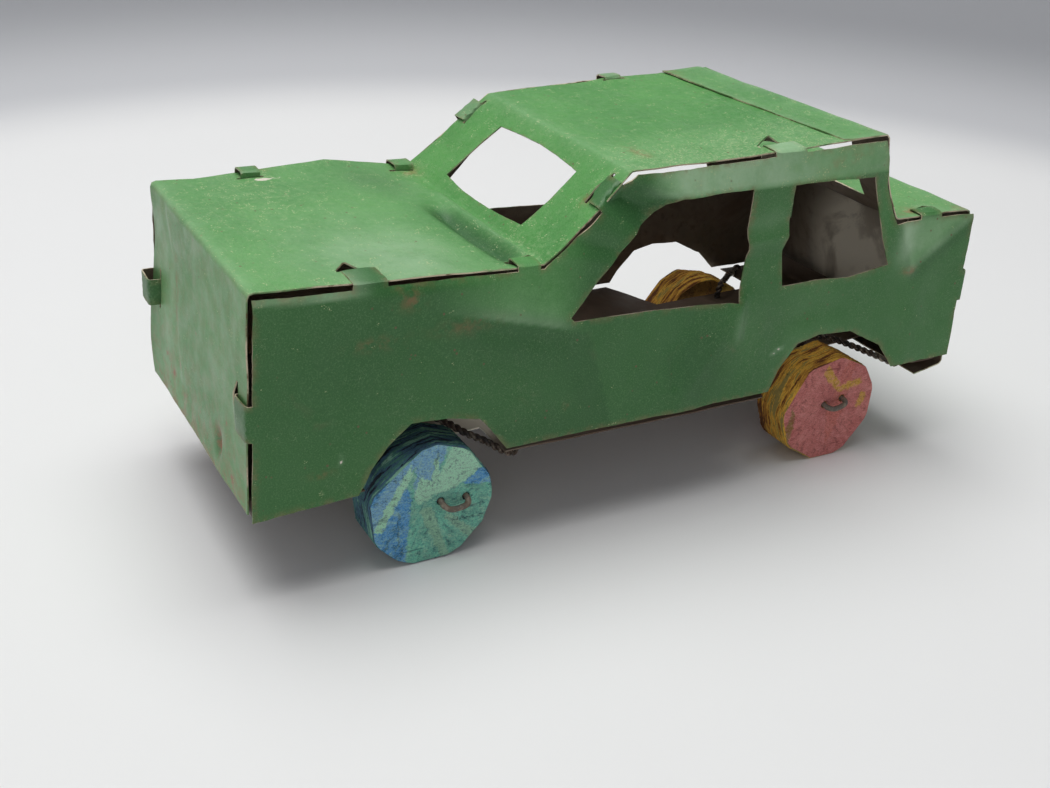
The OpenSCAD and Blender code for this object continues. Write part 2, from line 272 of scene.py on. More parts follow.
def tiled(outer, holes, step, folds, wobble):
    """A flat sheet in small triangles, closer at its folds: points, faces and distances to a cut edge."""
    loops = [divided(outer, step, wobble)] + [divided(h, min(step, HOLE_STEP), wobble / 2) for h in holes]
    low, high = loops[0].min(0), loops[0].max(0)
    rise = step * math.sqrt(0.75)
    levels = [low[1] + rise * i for i in range(int((high[1] - low[1]) / rise) + 2)]
    levels = [v for v in levels if all(abs(v - f) > FOLD_STEP * FOLD_ROWS + 0.1 for f in folds)]
    levels += [f + FOLD_STEP * i for f in folds for i in range(-FOLD_ROWS, FOLD_ROWS + 1)]
    grid = []
    for i, v in enumerate(sorted(levels)):
        across = np.arange(low[0] - step, high[0] + step, step) + (0.5 * step if i % 2 else 0)
        grid.append(np.stack([across, np.full(len(across), v)], 1))
    grid = np.concatenate(grid)
    grid = grid[on_sheet(grid, loops)]
    grid = grid[edge_distance(grid, loops) > 0.45 * step]
    edges = []
    first = 0
    for loop in loops:
        edges += [(first + i, first + (i + 1) % len(loop)) for i in range(len(loop))]
        first += len(loop)
    flat = np.concatenate(loops + [grid])
    made = delaunay_2d_cdt([Vector(p) for p in flat], edges, [], 0, 1e-5)
    points = np.array([tuple(p) for p in made[0]])
    faces = np.array([f for f in made[2] if len(f) == 3])
    return points, faces[on_sheet(points[faces].mean(1), loops)], edge_distance(points, loops)


# ---- shapes of dents, as heights or shares


def mound(u, v, cu, cv, ru, rv, turn=0.0):
    """1 at a place, falling smoothly all round it."""
    c, s = math.cos(turn), math.sin(turn)
    along = ((u - cu) * c + (v - cv) * s) / ru
    across = (-(u - cu) * s + (v - cv) * c) / rv
    return np.exp(-(along * along + across * across))


def crease(u, v, start, end, width, fade):
    """1 on the line from start to end, falling in straight slopes over width and fading past its ends."""
    du, dv = end[0] - start[0], end[1] - start[1]
    length = math.hypot(du, dv)
    along = ((u - start[0]) * du + (v - start[1]) * dv) / length
    across = np.abs((u - start[0]) * dv - (v - start[1]) * du) / length
    past = np.maximum(-along, along - length)
    return share(1 - across / width) * share(1 - past / fade)


def spots(u, v, *rows, at=float):
    """Sum of mounds. A row is an amount, a centre and sizes, and at() turns a place into a v."""
    return sum(amount * mound(u, v, cu, at(place), *sizes) for amount, cu, place, *sizes in rows)


def lines(u, v, *rows, at=float):
    """Sum of creases. A row is an amount, both ends, the width and the fade."""
    return sum(amount * crease(u, v, (u0, at(v0)), (u1, at(v1)), width, fade)
               for amount, u0, v0, u1, v1, width, fade in rows)


def facet(u, v, corners):
    """Distance in from the nearest side of a convex outline, given anticlockwise: a flat-sided dent."""
    deep = np.full(np.shape(u), 1e9)
    for (u0, v0), (u1, v1) in zip(corners, corners[1:] + corners[:1]):
        length = math.hypot(u1 - u0, v1 - v0)
        deep = np.minimum(deep, ((u1 - u0) * (v - v0) - (v1 - v0) * (u - u0)) / length)
    return np.clip(deep, 0, None)


def waves(u, v, size, seed):
    """Gentle unevenness between about -1 and 1."""
    total = np.zeros(np.shape(u))
    for k in range(5):
        turn = seed * 1.7 + k * 2.4
        pace = 2 * math.pi / size * (0.7 + 0.37 * k)
        total += np.sin((u * math.cos(turn) + v * math.sin(turn)) * pace + seed + 3 * k) / (1.5 + k)
    return total * 0.6


def ramp(value, low, high):
    """0 below low, 1 above high and a smooth rise between."""
    part = share((value - low) / (high - low))
    return part * part * (3 - 2 * part)


def reaching(distance, reach):
    """1 at no distance, dying away over the reach."""
    return np.exp(-np.clip(distance, 0, None) / reach)


# ---- meshes


def linked(name, data):
    """A new object in the scene."""
    made = bpy.data.objects.new(name, data)
    bpy.context.scene.collection.objects.link(made)
    return made


def mesh_object(name, points, faces, slots, materials, masks, sharp_deg):
    """An object in metres, with one float attribute per mask, and its edges sharp above an angle."""
    mesh = bpy.data.meshes.new(name)
    mesh.from_pydata((np.asarray(points) * MM).tolist(), [], [tuple(int(i) for i in f) for f in faces])
    for material in materials:
        mesh.materials.append(material)
    mesh.polygons.foreach_set("material_index", np.asarray(slots, np.int32))
    for mask, values in masks.items():
        attribute = mesh.attributes.new(mask, "FLOAT", "POINT")
        attribute.data.foreach_set("value", np.asarray(values, np.float32))
    mesh.shade_smooth()
    mesh.set_sharp_from_angle(angle=math.radians(sharp_deg))
    mesh.validate()
    return linked(name, mesh)


def placed(made, node, body):
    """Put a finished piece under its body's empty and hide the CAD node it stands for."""
    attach(made, body)
    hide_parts(node)


def ring_face(first, count, level):
    """One face that fills a ring, for rings of count points of which the first starts at an index."""
    return tuple(range(first + level * count, first + (level + 1) * count))


def bands(first, count, levels):
    """Quads between such rings."""
    for i in range(levels - 1):
        for k in range(count):
            a, b = first + i * count + k, first + i * count + (k + 1) % count
            yield a, b, b + count, a + count


def boundary(faces):
    """Edges with a face on one side only, in that face's own direction."""
    found = {(f[k - 1], f[k]): None for f in faces for k in (1, 2, 0)}
    return [(a, b) for a, b in found if (b, a) not in found]


def sheet_piece(node, outer, holes, place, masks, folds=(), step=1.35, slot="green_paint"):
    """A sheet of tin: cut flat, put in place, given its thickness, with masks for its paint."""
    flat, faces, edge = tiled(outer, holes, step, folds, SNIP_WOBBLE)
    u, v = flat[:, 0], flat[:, 1]
    points = place(u, v)
    a, b, c = (points[faces[:, k]] for k in range(3))
    normals = np.cross(b - a, c - a)
    cabin = np.array([0, 0, 62])
    if (normals * (points[faces].mean(1) - cabin)).sum() < 0:
        faces = faces[:, ::-1]
        normals = -normals
    at_points = np.zeros_like(points)
    for k in range(3):
        np.add.at(at_points, faces[:, k], normals)
    count = len(points)
    rim = [(b, a, a + count, b + count) for a, b in boundary(faces)]
    every = [tuple(f) for f in faces] + [tuple(f[::-1] + count) for f in faces] + rim
    slots = [0] * len(faces) + [1] * len(faces) + [2] * len(rim)
    both = np.concatenate([points, points - units(at_points) * SHEET_T])
    values = {"edge": edge, **masks(u, v, edge)}
    values = {k: np.concatenate([m, m]) for k, m in values.items()}
    # A bare-tin sheet has bare tin on its cut edges too, darkened there by the tin's grime and painted
    # shade.
    materials = [PAINT, TIN, CUT] if slot == "green_paint" else [TIN, TIN, TIN]
    made = mesh_object(node + "_sheet", both, every, slots, materials, values, sharp_deg=38)
    placed(made, node, "car_body")


# ---- node trees


class Tree:
    """Short ways to add shader nodes to one material."""

    def __init__(self, name):
        self.material = bpy.data.materials.new(name)
        self.material.use_nodes = True
        self.tree = self.material.node_tree
        self.where = self.add("TexCoord").outputs["Object"]
        self.colour = None

    def add(self, kind, settings=None, **inputs):
        made = self.tree.nodes.new("ShaderNode" + kind)
        for key, value in (settings or {}).items():
            setattr(made, key, value)
        for key, value in inputs.items():
            self.put(made.inputs[key], value)
        return made

    def put(self, socket, value):
        if isinstance(value, bpy.types.NodeSocket):
            self.tree.links.new(value, socket)
        else:
            socket.default_value = value

    def mask(self, name):
        return self.add("Attribute", {"attribute_name": name}).outputs["Fac"]

    def maths(self, operation, *values):
        made = self.add("Math", {"operation": operation})
        for socket, value in zip(made.inputs, values):
            self.put(socket, value)
        return made.outputs[0]

    def times(self, first, second):
        return self.maths("MULTIPLY", first, second)

    def plus(self, first, second):
        return self.maths("ADD", first, second)

    def less(self, first, second):
        return self.maths("SUBTRACT", first, second)

    def most(self, *values):
        return reduce(lambda first, second: self.maths("MAXIMUM", first, second), values)

    def mix(self, amount, first, second):
        made = self.add("Mix", {"data_type": "RGBA"})
        for index, value in ((0, amount), (6, first), (7, second)):
            if index and not isinstance(value, bpy.types.NodeSocket):
                value = (*value, 1)
            self.put(made.inputs[index], value)
        return made.outputs[2]

    def coat(self, amount, tint, strength=None):
        """Lay a tint over the colour made so far."""
        if strength is not None:
            amount = self.times(amount, strength)
        self.colour = self.mix(amount, self.colour, tint)

    def fade(self, value, low, high, to_low=0.0, to_high=1.0):
        made = self.add("MapRange", {"interpolation_type": "SMOOTHSTEP"})
        for socket, number in zip(made.inputs, (value, low, high, to_low, to_high)):
            self.put(socket, number)
        return made.outputs[0]

    def moved(self, scale=(1, 1, 1), turn=(0, 0, 0), shift=(0, 0, 0)):
        turn = [math.radians(t) for t in turn]
        return self.add("Mapping", Vector=self.where, Scale=scale, Rotation=turn, Location=shift).outputs[0]

    def noise(self, scale, detail=3.0, rough=0.55, where=None, distortion=0.0):
        made = self.add("TexNoise", Vector=where or self.where, Scale=scale, Detail=detail, Roughness=rough,
                        Distortion=distortion)
        return made.outputs["Fac"]

    def cells(self, scale, where):
        return self.add("TexVoronoi", Vector=where, Scale=scale).outputs["Distance"]

    def finish(self, height, distance, strength, **inputs):
        """The finished material: its colour, its bumps and the shader's other inputs."""
        bump = self.add("Bump", Height=height, Distance=distance, Strength=strength).outputs[0]
        shader = self.tree.nodes["Principled BSDF"]
        for key, value in {"Base_Color": self.colour, "Normal": bump, **inputs}.items():
            self.put(shader.inputs[key.replace("_", " ")], value)
        return self.material


def green_paint():
    """Old brushed enamel on tin: uneven green, pale dust specks, brown stains, chips along cut edges, with
    painted shade where the deep mask is and painted highlights where the pale mask is.
    """
    t = Tree("worn_green_paint")
    edge, dust, pale, deep, stain, bared = map(t.mask, ("edge", "dust", "pale", "deep", "stain", "bare"))
    fine = t.noise(420, 3, 0.6)
    grain = t.noise(2300, 3, 0.7)
    t.colour = t.mix(t.fade(t.noise(22, 4, 0.6), 0.3, 0.7), (0.060, 0.245, 0.052), (0.096, 0.325, 0.074))
    t.coat(t.fade(fine, 0.35, 0.75), (0.135, 0.345, 0.115), 0.35)
    # Painted shade: the deep mask darkens the green where shade falls on the sheet.
    t.coat(deep, (0.027, 0.120, 0.028))
    t.coat(t.fade(grain, 0.50, 0.70, 0, 0.22), (0.24, 0.44, 0.19))
    t.coat(t.fade(grain, 0.32, 0.48, 0.30, 0), (0.020, 0.090, 0.018))
    # Painted highlight: the pale mask lightens the green to a chalky tone where light falls on the sheet,
    # and at a few real scrapes.
    t.coat(t.times(pale, t.fade(t.noise(90, 4, 0.7), 0.25, 0.75, 0.55, 1.0)), (0.40, 0.57, 0.37))
    # Brown rubbed patches.
    t.coat(t.fade(t.noise(65, 5, 0.65, distortion=0.6), 0.62, 0.80), (0.20, 0.15, 0.09), 0.22)
    t.coat(t.times(stain, t.fade(t.noise(260, 4, 0.7), 0.40, 0.62)), (0.30, 0.12, 0.06), 0.7)
    # Pale specks of dust and overspray, thick where the dust mask is.
    chosen = t.fade(t.plus(t.noise(300, 2, 0.5), t.times(dust, 0.22)), 0.655, 0.70)
    specks = [t.fade(t.cells(1150, t.moved(stretch, (0, 0, turn))), 0.10, 0.28, 1, 0)
              for stretch, turn in (((1, 1, 1), 0), ((0.4, 1.4, 1.4), 35), ((1.4, 0.5, 1.4), -20))]
    specked = t.times(t.most(*specks), chosen)
    t.coat(specked, (0.50, 0.58, 0.30), 0.7)
    haze = t.times(dust, t.fade(t.noise(700, 4, 0.75), 0.45, 0.75))
    t.coat(haze, (0.40, 0.52, 0.27), 0.5)
    t.coat(t.fade(t.plus(bared, t.times(t.noise(500, 3, 0.7), 0.8)), 0.95, 1.1), (0.72, 0.66, 0.56))
    # Fine scratches in two directions.
    scratches = []
    for turn, seed in ((24, 0.3), (-38, 1.7)):
        run = t.noise(60, 2, 0.5, t.moved((1, 9, 9), (turn, 0, turn), (seed, seed, 0)))
        thin = t.fade(t.maths("ABSOLUTE", t.less(run, 0.5)), 0.0015, 0.005, 1, 0)
        seldom = t.fade(t.noise(45, 2, 0.5, t.moved(shift=(seed, 2, seed))), 0.50, 0.62)
        scratches.append(t.times(thin, seldom))
    scratched = t.most(*scratches)
    t.coat(scratched, (0.33, 0.47, 0.24), 0.45)
    # Brown pinpricks, and chips where the sheet was cut.
    pin = t.fade(t.cells(330, t.moved(shift=(0.4, 0.1, 0.2))), 0.06, 0.16, 1, 0)
    rare = t.fade(t.noise(120, 1, 0.5, t.moved(shift=(3, 1, 2))), 0.54, 0.62)
    t.coat(t.times(pin, rare), (0.16, 0.09, 0.05), 0.8)
    ragged = t.noise(380, 4, 0.7)
    soiled = t.plus(edge, t.times(t.less(ragged, 0.42), 7.0))
    t.coat(t.fade(soiled, -0.3, 1.2, 0.32, 0), (0.22, 0.16, 0.09))
    chipped = t.fade(t.plus(edge, t.times(t.less(ragged, 0.36), 6.0)), -0.35, -0.15, 1, 0)
    t.coat(chipped, t.mix(t.noise(600, 2), (0.10, 0.045, 0.025), (0.26, 0.17, 0.10)))
    rough = t.fade(t.noise(150, 4, 0.65), 0.3, 0.7, 0.34, 0.50)
    rough = t.plus(rough, t.times(t.most(chipped, haze), 0.3))
    height = t.plus(t.times(fine, 0.5), t.times(t.noise(90, 3), 1.2))
    height = t.less(height, t.times(t.most(chipped, scratched), 0.5))
    height = t.plus(height, t.times(specked, 0.4))
    return t.finish(height, 0.00012, 0.55, Roughness=rough, Specular_IOR_Level=0.4)


def bare_tin():
    """The unpainted back of the sheet: grey-beige tin gone brown in patches, with a patch of painted light
    and a darkening that is part grime and part painted shade.
    """
    t = Tree("bare_tin")
    patches = t.noise(38, 5, 0.62, distortion=0.8)
    t.colour = t.mix(t.fade(patches, 0.38, 0.66), (0.36, 0.31, 0.235), (0.150, 0.105, 0.068))
    t.coat(t.fade(t.noise(240, 4, 0.7), 0.52, 0.72, 0, 0.6), (0.085, 0.050, 0.030))
    t.coat(t.fade(t.noise(90, 3, 0.6, t.moved((1, 1, 0.2))), 0.55, 0.75, 0, 0.4), (0.46, 0.42, 0.35))
    # Painted light: a bright beige patch on the tin inside the car, where it is seen lit through the windows
    # and arches; it is less metallic there too.
    clean = t.times(t.mask("clean"), t.fade(patches, 0.40, 0.62, 1, 0.35))
    t.coat(clean, (0.95, 0.88, 0.72))
    # Darkening, part grime and part painted shade: it darkens the tin inside the car and the floor's cut
    # edges, which lie in the shadow under the sills.
    t.coat(t.fade(t.mask("grime"), 0, 1), t.mix(patches, (0.045, 0.026, 0.016), (0.11, 0.065, 0.040)))
    shine = t.times(t.fade(patches, 0.38, 0.66, 0.65, 0.1), t.fade(clean, 0, 0.5, 1, 0))
    return t.finish(t.plus(t.noise(500, 4, 0.7), t.noise(60, 3)), 0.0001, 0.6,
                    Roughness=t.fade(patches, 0.35, 0.7, 0.42, 0.75), Metallic=shine)


def cut_edge():
    """The bare cut edge of the sheet, part bright and part rusted."""
    t = Tree("cut_edge")
    rust = t.fade(t.noise(170, 4, 0.7), 0.50, 0.66)
    t.colour = t.mix(t.fade(t.noise(90, 3), 0.40, 0.55), (0.13, 0.24, 0.09), (0.62, 0.54, 0.38))
    t.coat(rust, (0.17, 0.10, 0.055), 0.8)
    return t.finish(t.noise(900, 2), 0.00008, 0.6, Roughness=t.fade(rust, 0, 1, 0.4, 0.85), Metallic=0.25)


def rusty_wire(name, dark, rusty):
    """Annealed wire with brown rust and a few rubbed places."""
    t = Tree(name)
    t.colour = t.mix(t.fade(t.noise(320, 5, 0.7), 0.40, 0.62), dark, rusty)
    rubbed = t.fade(t.noise(150, 3, 0.6, t.moved(shift=(1, 2, 3))), 0.56, 0.68)
    rubbed = t.most(rubbed, t.fade(t.noise(700, 3, 0.7), 0.50, 0.62, 0, 0.55))
    t.coat(rubbed, (0.42, 0.36, 0.28), 0.8)
    return t.finish(t.noise(1400, 4, 0.7), 0.00012, 0.8,
                    Roughness=t.fade(rubbed, 0, 1, 0.72, 0.38), Metallic=t.fade(rubbed, 0, 1, 0.35, 0.85))


PAINT = green_paint()
TIN = bare_tin()
CUT = cut_edge()
WIRE = rusty_wire("rubbed_wire", (0.135, 0.120, 0.102), (0.175, 0.130, 0.090))
DARK_WIRE = rusty_wire("dark_wire", (0.030, 0.026, 0.024), (0.070, 0.042, 0.028))


# ---- front skin: nose, bonnet, screen, roof

front_track = Track([NOSE_FOOT, NOSE_TOP, COWL, ROOF_FRONT, ROOF_END], FOLD_R)
NOSE_S, COWL_S, ROOF_S = front_track.folds


def measured(start, origin, way=1):
    """A function from a panel's own coordinate to the distance along its track."""
    return lambda place: start + way * (place - origin)


nose_s = measured(0, NOSE_FOOT[1])
bonnet_s = measured(NOSE_S, NOSE_TOP[0])
screen_s = measured(COWL_S, 0)
roof_s = measured(ROOF_S, ROOF_FRONT[0])


def lifted_lip(u, v, slit_u, start, end, reach, crest):
    """The sheet beside a slit, prised up on the slit's far side from the tab, highest at its crest."""
    inboard = np.clip((slit_u - u) / reach, 0, None)
    along = share((v - start) / (end - start))
    peak = np.where(along < crest, along / crest, (1 - along) / (1 - crest))
    return np.where(u < slit_u + 0.3, np.exp(-inboard * inboard) * peak, 0)


def front_dents(u, s):
    """Height of the front skin above its plain folded shape."""
    on_bonnet = ramp(s, NOSE_S, NOSE_S + 14) * ramp(-s, -COWL_S, 14 - COWL_S)
    on_nose = ramp(-s, -NOSE_S, 8 - NOSE_S)
    h = 0.25 * waves(u, s, 46, 2.0) + 0.12 * waves(u, s, 17, 5.0)
    # The bonnet's far edge is pulled up to a kink, and its middle is slightly crowned.
    h += 3.9 * reaching(u + 46, 17) * share(1 - np.abs(s - bonnet_s(-62)) / 40)
    h += 0.9 * on_bonnet * (1 - (u / 46) ** 2)
    # A finger-wide dent runs along the foot of the windscreen, with a soft ridge behind it.
    h += lines(u, s, (-2.9, 2, -43, 33, -41.6, 4.8, 12), (1.2, -16, -37.4, 40, -37, 3.0, 8),
               (-0.5, -38, -43, -14, -50, 7, 10), at=bonnet_s)
    # The nose is bowed and crumpled along its far edge.
    h += on_nose * reaching(u + 46, 9) * spots(0, s, (1.3, 0, 42, 1, 13), (-0.9, 0, 72, 1, 9), at=nose_s)
    h -= on_nose * mound(u, s, -8, nose_s(62), 26, 20)
    h += spots(u, s, (-1.5, 21.3, 35.6, 1.9, 3.6), at=nose_s)
    h += lines(u, s, (-0.35, -30, 84, -19, 40, 3, 10), at=nose_s)
    # The roof sags a little between its edges, and the screen pillars twist.
    h -= 0.5 * ramp(s, ROOF_S + 2, ROOF_S + 20) * mound(u, s, -6, roof_s(34), 26, 26)
    h += lines(u, s, (0.5, -30, 17, -44, 20, 6, 3), at=screen_s)
    # Slits prised open by the tabs' ends.
    for lift, at, slit_u, start, end, reach, crest in (
            (2.3, bonnet_s, 37.2, -89.4, -83.4, 3.0, 0.35), (1.2, bonnet_s, 40.2, -43.6, -38, 2.2, 0.5),
            (3.0, roof_s, 40.2, 34.8, 43, 3.2, 0.45), (0.9, screen_s, 38.4, 20, 31.6, 1.8, 0.5),
            (1.2, nose_s, 38.2, 48, 61, 2.2, 0.75)):
        h += lift * lifted_lip(u, s, slit_u, at(start), at(end), reach, crest)
    h += spots(u, s, (0.9, -39, 28, 3, 5), at=screen_s)
    return h + spots(u, s, (0.6, -42, 36, 3.4, 5), at=roof_s)


# Brown spots of the nose as (x, z, size).
NOSE_SPOTS = [(-36, 48, 1.4), (-31, 40, 1.2), (-12, 33, 1.2), (4.5, 37, 1.3), (-2, 58, 1), (33, 31, 1.4),
              (-24, 36, 1.2), (-17, 41, 1), (12, 31, 1.2), (28, 44, 1)]


def front_masks(u, s, edge):
    bonnet = ramp(s, NOSE_S - 1, NOSE_S + 1)
    nose = 1 - bonnet
    fold = np.exp(-np.abs(s - NOSE_S) / 2.2) + 0.7 * np.exp(-np.abs(s - ROOF_S) / 2.5)
    near_roof = ramp(s, ROOF_S, ROOF_S + 3) * ramp(u, 6, 36)
    valley = lines(u, s, (1, 1, -43.4, 34, -41.8, 6.0, 9), at=bonnet_s)
    in_valley = share(1.8 * valley)
    dust = 0.3 * bonnet + 0.7 * near_roof + 0.35 * fold + 0.25 * ramp(-edge, -3, 0)
    dust += spots(u, s, (0.7, 34, -37, 16, 8), (0.42, -36, -37, 7, 6), (0.5, -22, -92, 26, 18), at=bonnet_s)
    dust *= 1 - 0.7 * in_valley
    # Pale: painted highlight along the folds, near the roof, at the foot of the windscreen, on the bonnet's
    # near part and on the ridge behind the dent, and painted light over the nose; it is kept off the dent.
    pale = 0.16 * near_roof + 0.30 * fold + 0.10 * bonnet * ramp(-s, -COWL_S, 6 - COWL_S)
    pale += spots(u, s, (0.50, 32, -73, 25, 20), at=bonnet_s)
    pale += lines(u, s, (0.32, -14, -36.6, 38, -36, 1.8, 6), at=bonnet_s)
    pale *= (1 - in_valley) * (1 - 0.6 * mound(u, s, 16, bonnet_s(-49), 26, 6))
    pale += nose * (0.14 + 0.30 * mound(u, s, -28, nose_s(56), 11, 32))
    # Deep: painted shade in the dent at the windscreen's foot and in the nose's dent, over the nose and
    # darkest along its far edge, and in two soft patches on the bonnet.
    deep = 1.7 * valley + spots(u, s, (0.5, -30, -52, 14, 12), (0.12, 10, -48, 26, 6), at=bonnet_s)
    deep += nose * (0.16 + 0.30 * mound(u, s, 16, nose_s(38), 26, 18) + 0.35 * reaching(u + 46, 4))
    deep += spots(u, s, (0.8, 21.3, 35.6, 2.4, 4), at=nose_s)
    stain = 0.5 * ramp(-s, -5, 0) + nose * (0.18 + 0.30 * ramp(-s, -nose_s(52), -nose_s(30)))
    stain += spots(u, s, (1, -47, -83, 4, 2.6), (0.9, -39, -37, 4.5, 3.5), at=bonnet_s)
    stain += spots(u, s, (1.5, 21.3, 35.6, 2.0, 3.6), (0.8, -27, 36, 1, 3), (0.6, -22, 62, 2, 12),
                   *((1.3, x, z, size, size) for x, z, size in NOSE_SPOTS), at=nose_s)
    stain += spots(u, s, (0.8, 30, 2, 7, 2), at=roof_s) + spots(u, s, (0.8, 38, 21, 2, 2), at=screen_s)
    bare = spots(u, s, (1.1, -37.2, -84.5, 1.5, 2.4), (0.75, -37.6, -80, 0.9, 3.4), at=bonnet_s)
    return {"dust": dust, "pale": share(pale), "deep": share(deep), "stain": stain, "bare": bare}


def slit(u, middle, half, width):
    """A slit for a tab, as a hole in the flat sheet."""
    return [(u + i * width / 2, middle + k * half) for i, k in ((-1, -1), (1, -1), (1, 1), (-1, 1))]


def front_skin():
    end = front_track.length
    near = [(SKIN_X, 0), (SKIN_X, NOSE_S), (45.4, bonnet_s(-46)), (45.2, bonnet_s(-36)), (45.9, screen_s(6)),
            (45.2, screen_s(21)), (43.4, ROOF_S), (43.5, roof_s(-4)), (44.2, roof_s(6)), (45.2, roof_s(14)),
            (45.7, roof_s(24)), (46.2, roof_s(42)), (45.6, end)]
    far = [(-42.6, end), (-43.2, roof_s(36)), (-42.6, ROOF_S), (-45.4, COWL_S), (-46.6, bonnet_s(-62)),
           (-SKIN_X, NOSE_S), (-SKIN_X, 0)]
    holes = [[(x, screen_s(v)) for x, v in WINDSCREEN]]
    for u, at, middle, half in (
            (38, nose_s, 55, 6), (37.4, bonnet_s, -84.2, 5.2), (40.4, bonnet_s, -39.8, 4),
            (38.6, screen_s, 26, 5.6), (40.4, roof_s, 41, 5.9),
            (-38, nose_s, 57, 6), (-40, bonnet_s, -87, 4), (-40, bonnet_s, -38.6, 4.2),
            (-39, screen_s, 27, 5), (-41, roof_s, 37, 4)):
        holes.append(slit(u, at(middle), half, 1.1))

    def place(u, s):
        return front_track.bent(u, s, front_dents(u, s))

    sheet_piece("front_skin", near + far, holes, place, front_masks, front_track.folds)


# ---- tail skin: lap, back window, boot, tail

tail_track = Track([LAP_FRONT, TAIL_ROOF, BOOT_FRONT, BOOT_REAR, TAIL_FOOT, TAIL_LIP], FOLD_R)
REAR_S, BOOT_S, TAIL_S, FOOT_S = tail_track.folds
boot_s = measured(BOOT_S, BOOT_FRONT[0])
tail_s = measured(TAIL_S, BOOT_REAR[1], -1)


def tail_dents(u, s):
    on_tail = ramp(s, TAIL_S, TAIL_S + 8)
    h = 0.22 * waves(u, s, 40, 3.0) + 0.1 * waves(u, s, 15, 8.0) + 0.35 * reaching(s, 2.5)
    h -= 2.0 * np.sin(share((s - REAR_S) / (BOOT_S - REAR_S)) * math.pi)
    h += lifted_lip(u, s, 40.2, boot_s(97), boot_s(107), 2.6, 0.5)
    h -= 0.7 * mound(u, s, -10, boot_s(102), 24, 10) * ramp(-s, 3 - TAIL_S, 8 - TAIL_S)
    h += on_tail * spots(u, s, (-0.9, 12, 52, 22, 14), at=tail_s)
    return h + on_tail * lines(u, s, (1.2, 30, 40, 44, 58, 7, 4), at=tail_s)


def tail_masks(u, s, edge):
    fold = sum(np.exp(-np.abs(s - f) / 2.2) for f in (REAR_S, TAIL_S))
    boot = ramp(s, BOOT_S, BOOT_S + 4) * ramp(-s, -TAIL_S, 3 - TAIL_S)
    # A spot of painted light on the tail's inner face, seen through the back window; the bare tin's
    # darkening is taken off there.
    painted_light_spot = mound(u, s, -1, tail_s(51), 18, 20)
    stain = 0.8 * np.exp(-s / 1.1) + 0.6 * ramp(s, FOOT_S - 4, FOOT_S)
    stain += spots(u, s, (1.1, -41, 1, 4, 4), (0.9, 44, REAR_S, 7, 1.8))
    stain += spots(u, s, (1, 40, 96, 3, 5), (0.8, 43, 115, 3, 4), at=boot_s)
    stain += spots(u, s, (0.7, -20, 44, 6, 3), at=tail_s)
    # Pale: painted highlight along the folds, and paler near the cut edges.
    return {"dust": 0.35 + 0.5 * fold + 0.3 * boot, "pale": 0.10 + 0.28 * fold + 0.18 * ramp(-edge, -4, 0),
            "stain": stain, "clean": 2 * painted_light_spot, "grime": 0.5 - 1.1 * painted_light_spot}


def tail_skin():
    end = tail_track.length
    near = [(44.9, 4.4), (46.9, REAR_S - 0.6), (46.9, REAR_S + 1), (45.6, BOOT_S - 4), (44.7, boot_s(90)),
            (45.0, boot_s(108)), (SKIN_X, TAIL_S), (SKIN_X, end)]
    far = [(-SKIN_X, end), (-SKIN_X, TAIL_S), (-45.6, boot_s(88)), (-43.6, REAR_S), (-42.8, 0.1)]
    holes = [[(x, REAR_S + v) for x, v in BACK_WINDOW]]
    for u, middle, half in ((40.4, boot_s(102), 4.6), (38.4, tail_s(56), 5.4)):
        holes += [slit(side * u, middle, half, 1.4) for side in (-1, 1)]

    def place(u, s):
        skew = -0.045 * np.clip(46 - u, 0, None) * np.exp(-((s - REAR_S) / 14) ** 2)
        return tail_track.bent(u, s, tail_dents(u, s), back=skew)

    sheet_piece("tail_skin", near + far, holes, place, tail_masks, tail_track.folds)


# ---- side panels

# Corners of a side panel's outline as (y, z), by the name of the edge that starts there.
SIDE_EDGES = {
    "nose": (NOSE_Y + 1, CHIN_Z), "bonnet": (NOSE_Y + 4, 85.4), "pillar": (COWL[0], 81.9),
    "roof": (ROOF_FRONT[0] + 1, 104.3), "back": (76.2, 106.2), "waist": (79.6, 92), "boot": (86.2, 79.1),
    "tail": (TAIL_Y, 79.1), "sill": (TAIL_Y, SILL_Z)}


class Tab:
    """One tab in the flat sheet and where it goes when it is bent over."""

    def __init__(self, spec, x_at):
        edge, distance, width, slit_x, lift = spec
        names = list(SIDE_EDGES)
        a = np.array(SIDE_EDGES[edge], float)
        b = np.array(SIDE_EDGES[names[names.index(edge) + 1]], float)
        self.along = unit(b - a)
        self.out = np.array([-self.along[1], self.along[0]])
        self.foot = a + self.along * distance
        self.half = width / 2
        self.start = float(x_at(*self.foot))
        top = TAB_DROP + lift
        bend = [(self.start, 0), (self.start, top), (slit_x, top + 0.1), (slit_x, TAB_DROP - TAB_END)]
        self.track = Track(bend, 0.75, 0.05)

    def outline(self):
        reach = self.track.length
        corners = [(-self.half, 0), (-self.half * 0.96, reach), (self.half * 0.92, reach), (self.half, 0)]
        return [tuple(self.foot + self.along * a + self.out * t) for a, t in corners]

    def bend(self, y, z, points, x_at):
        """Move the points of this tab from the flat sheet to the bent tab."""
        a = (y - self.foot[0]) * self.along[0] + (z - self.foot[1]) * self.along[1]
        t = (y - self.foot[0]) * self.out[0] + (z - self.foot[1]) * self.out[1]
        mine = (t > 0.01) & (t < self.track.length + 0.5) & (np.abs(a) < self.half + 0.3)
        a, t = a[mine], t[mine]
        x, m = self.track.at(t)
        foot = self.foot + a[:, None] * self.along
        m = m + 0.35 * np.sin(share(t / self.track.length) * math.pi) + 0.12 * waves(a, t, 9, 4.0)
        points[mine, 0] = x + x_at(foot[:, 0], foot[:, 1]) - self.start
        points[mine, 1:] = foot + self.out * m[:, None]


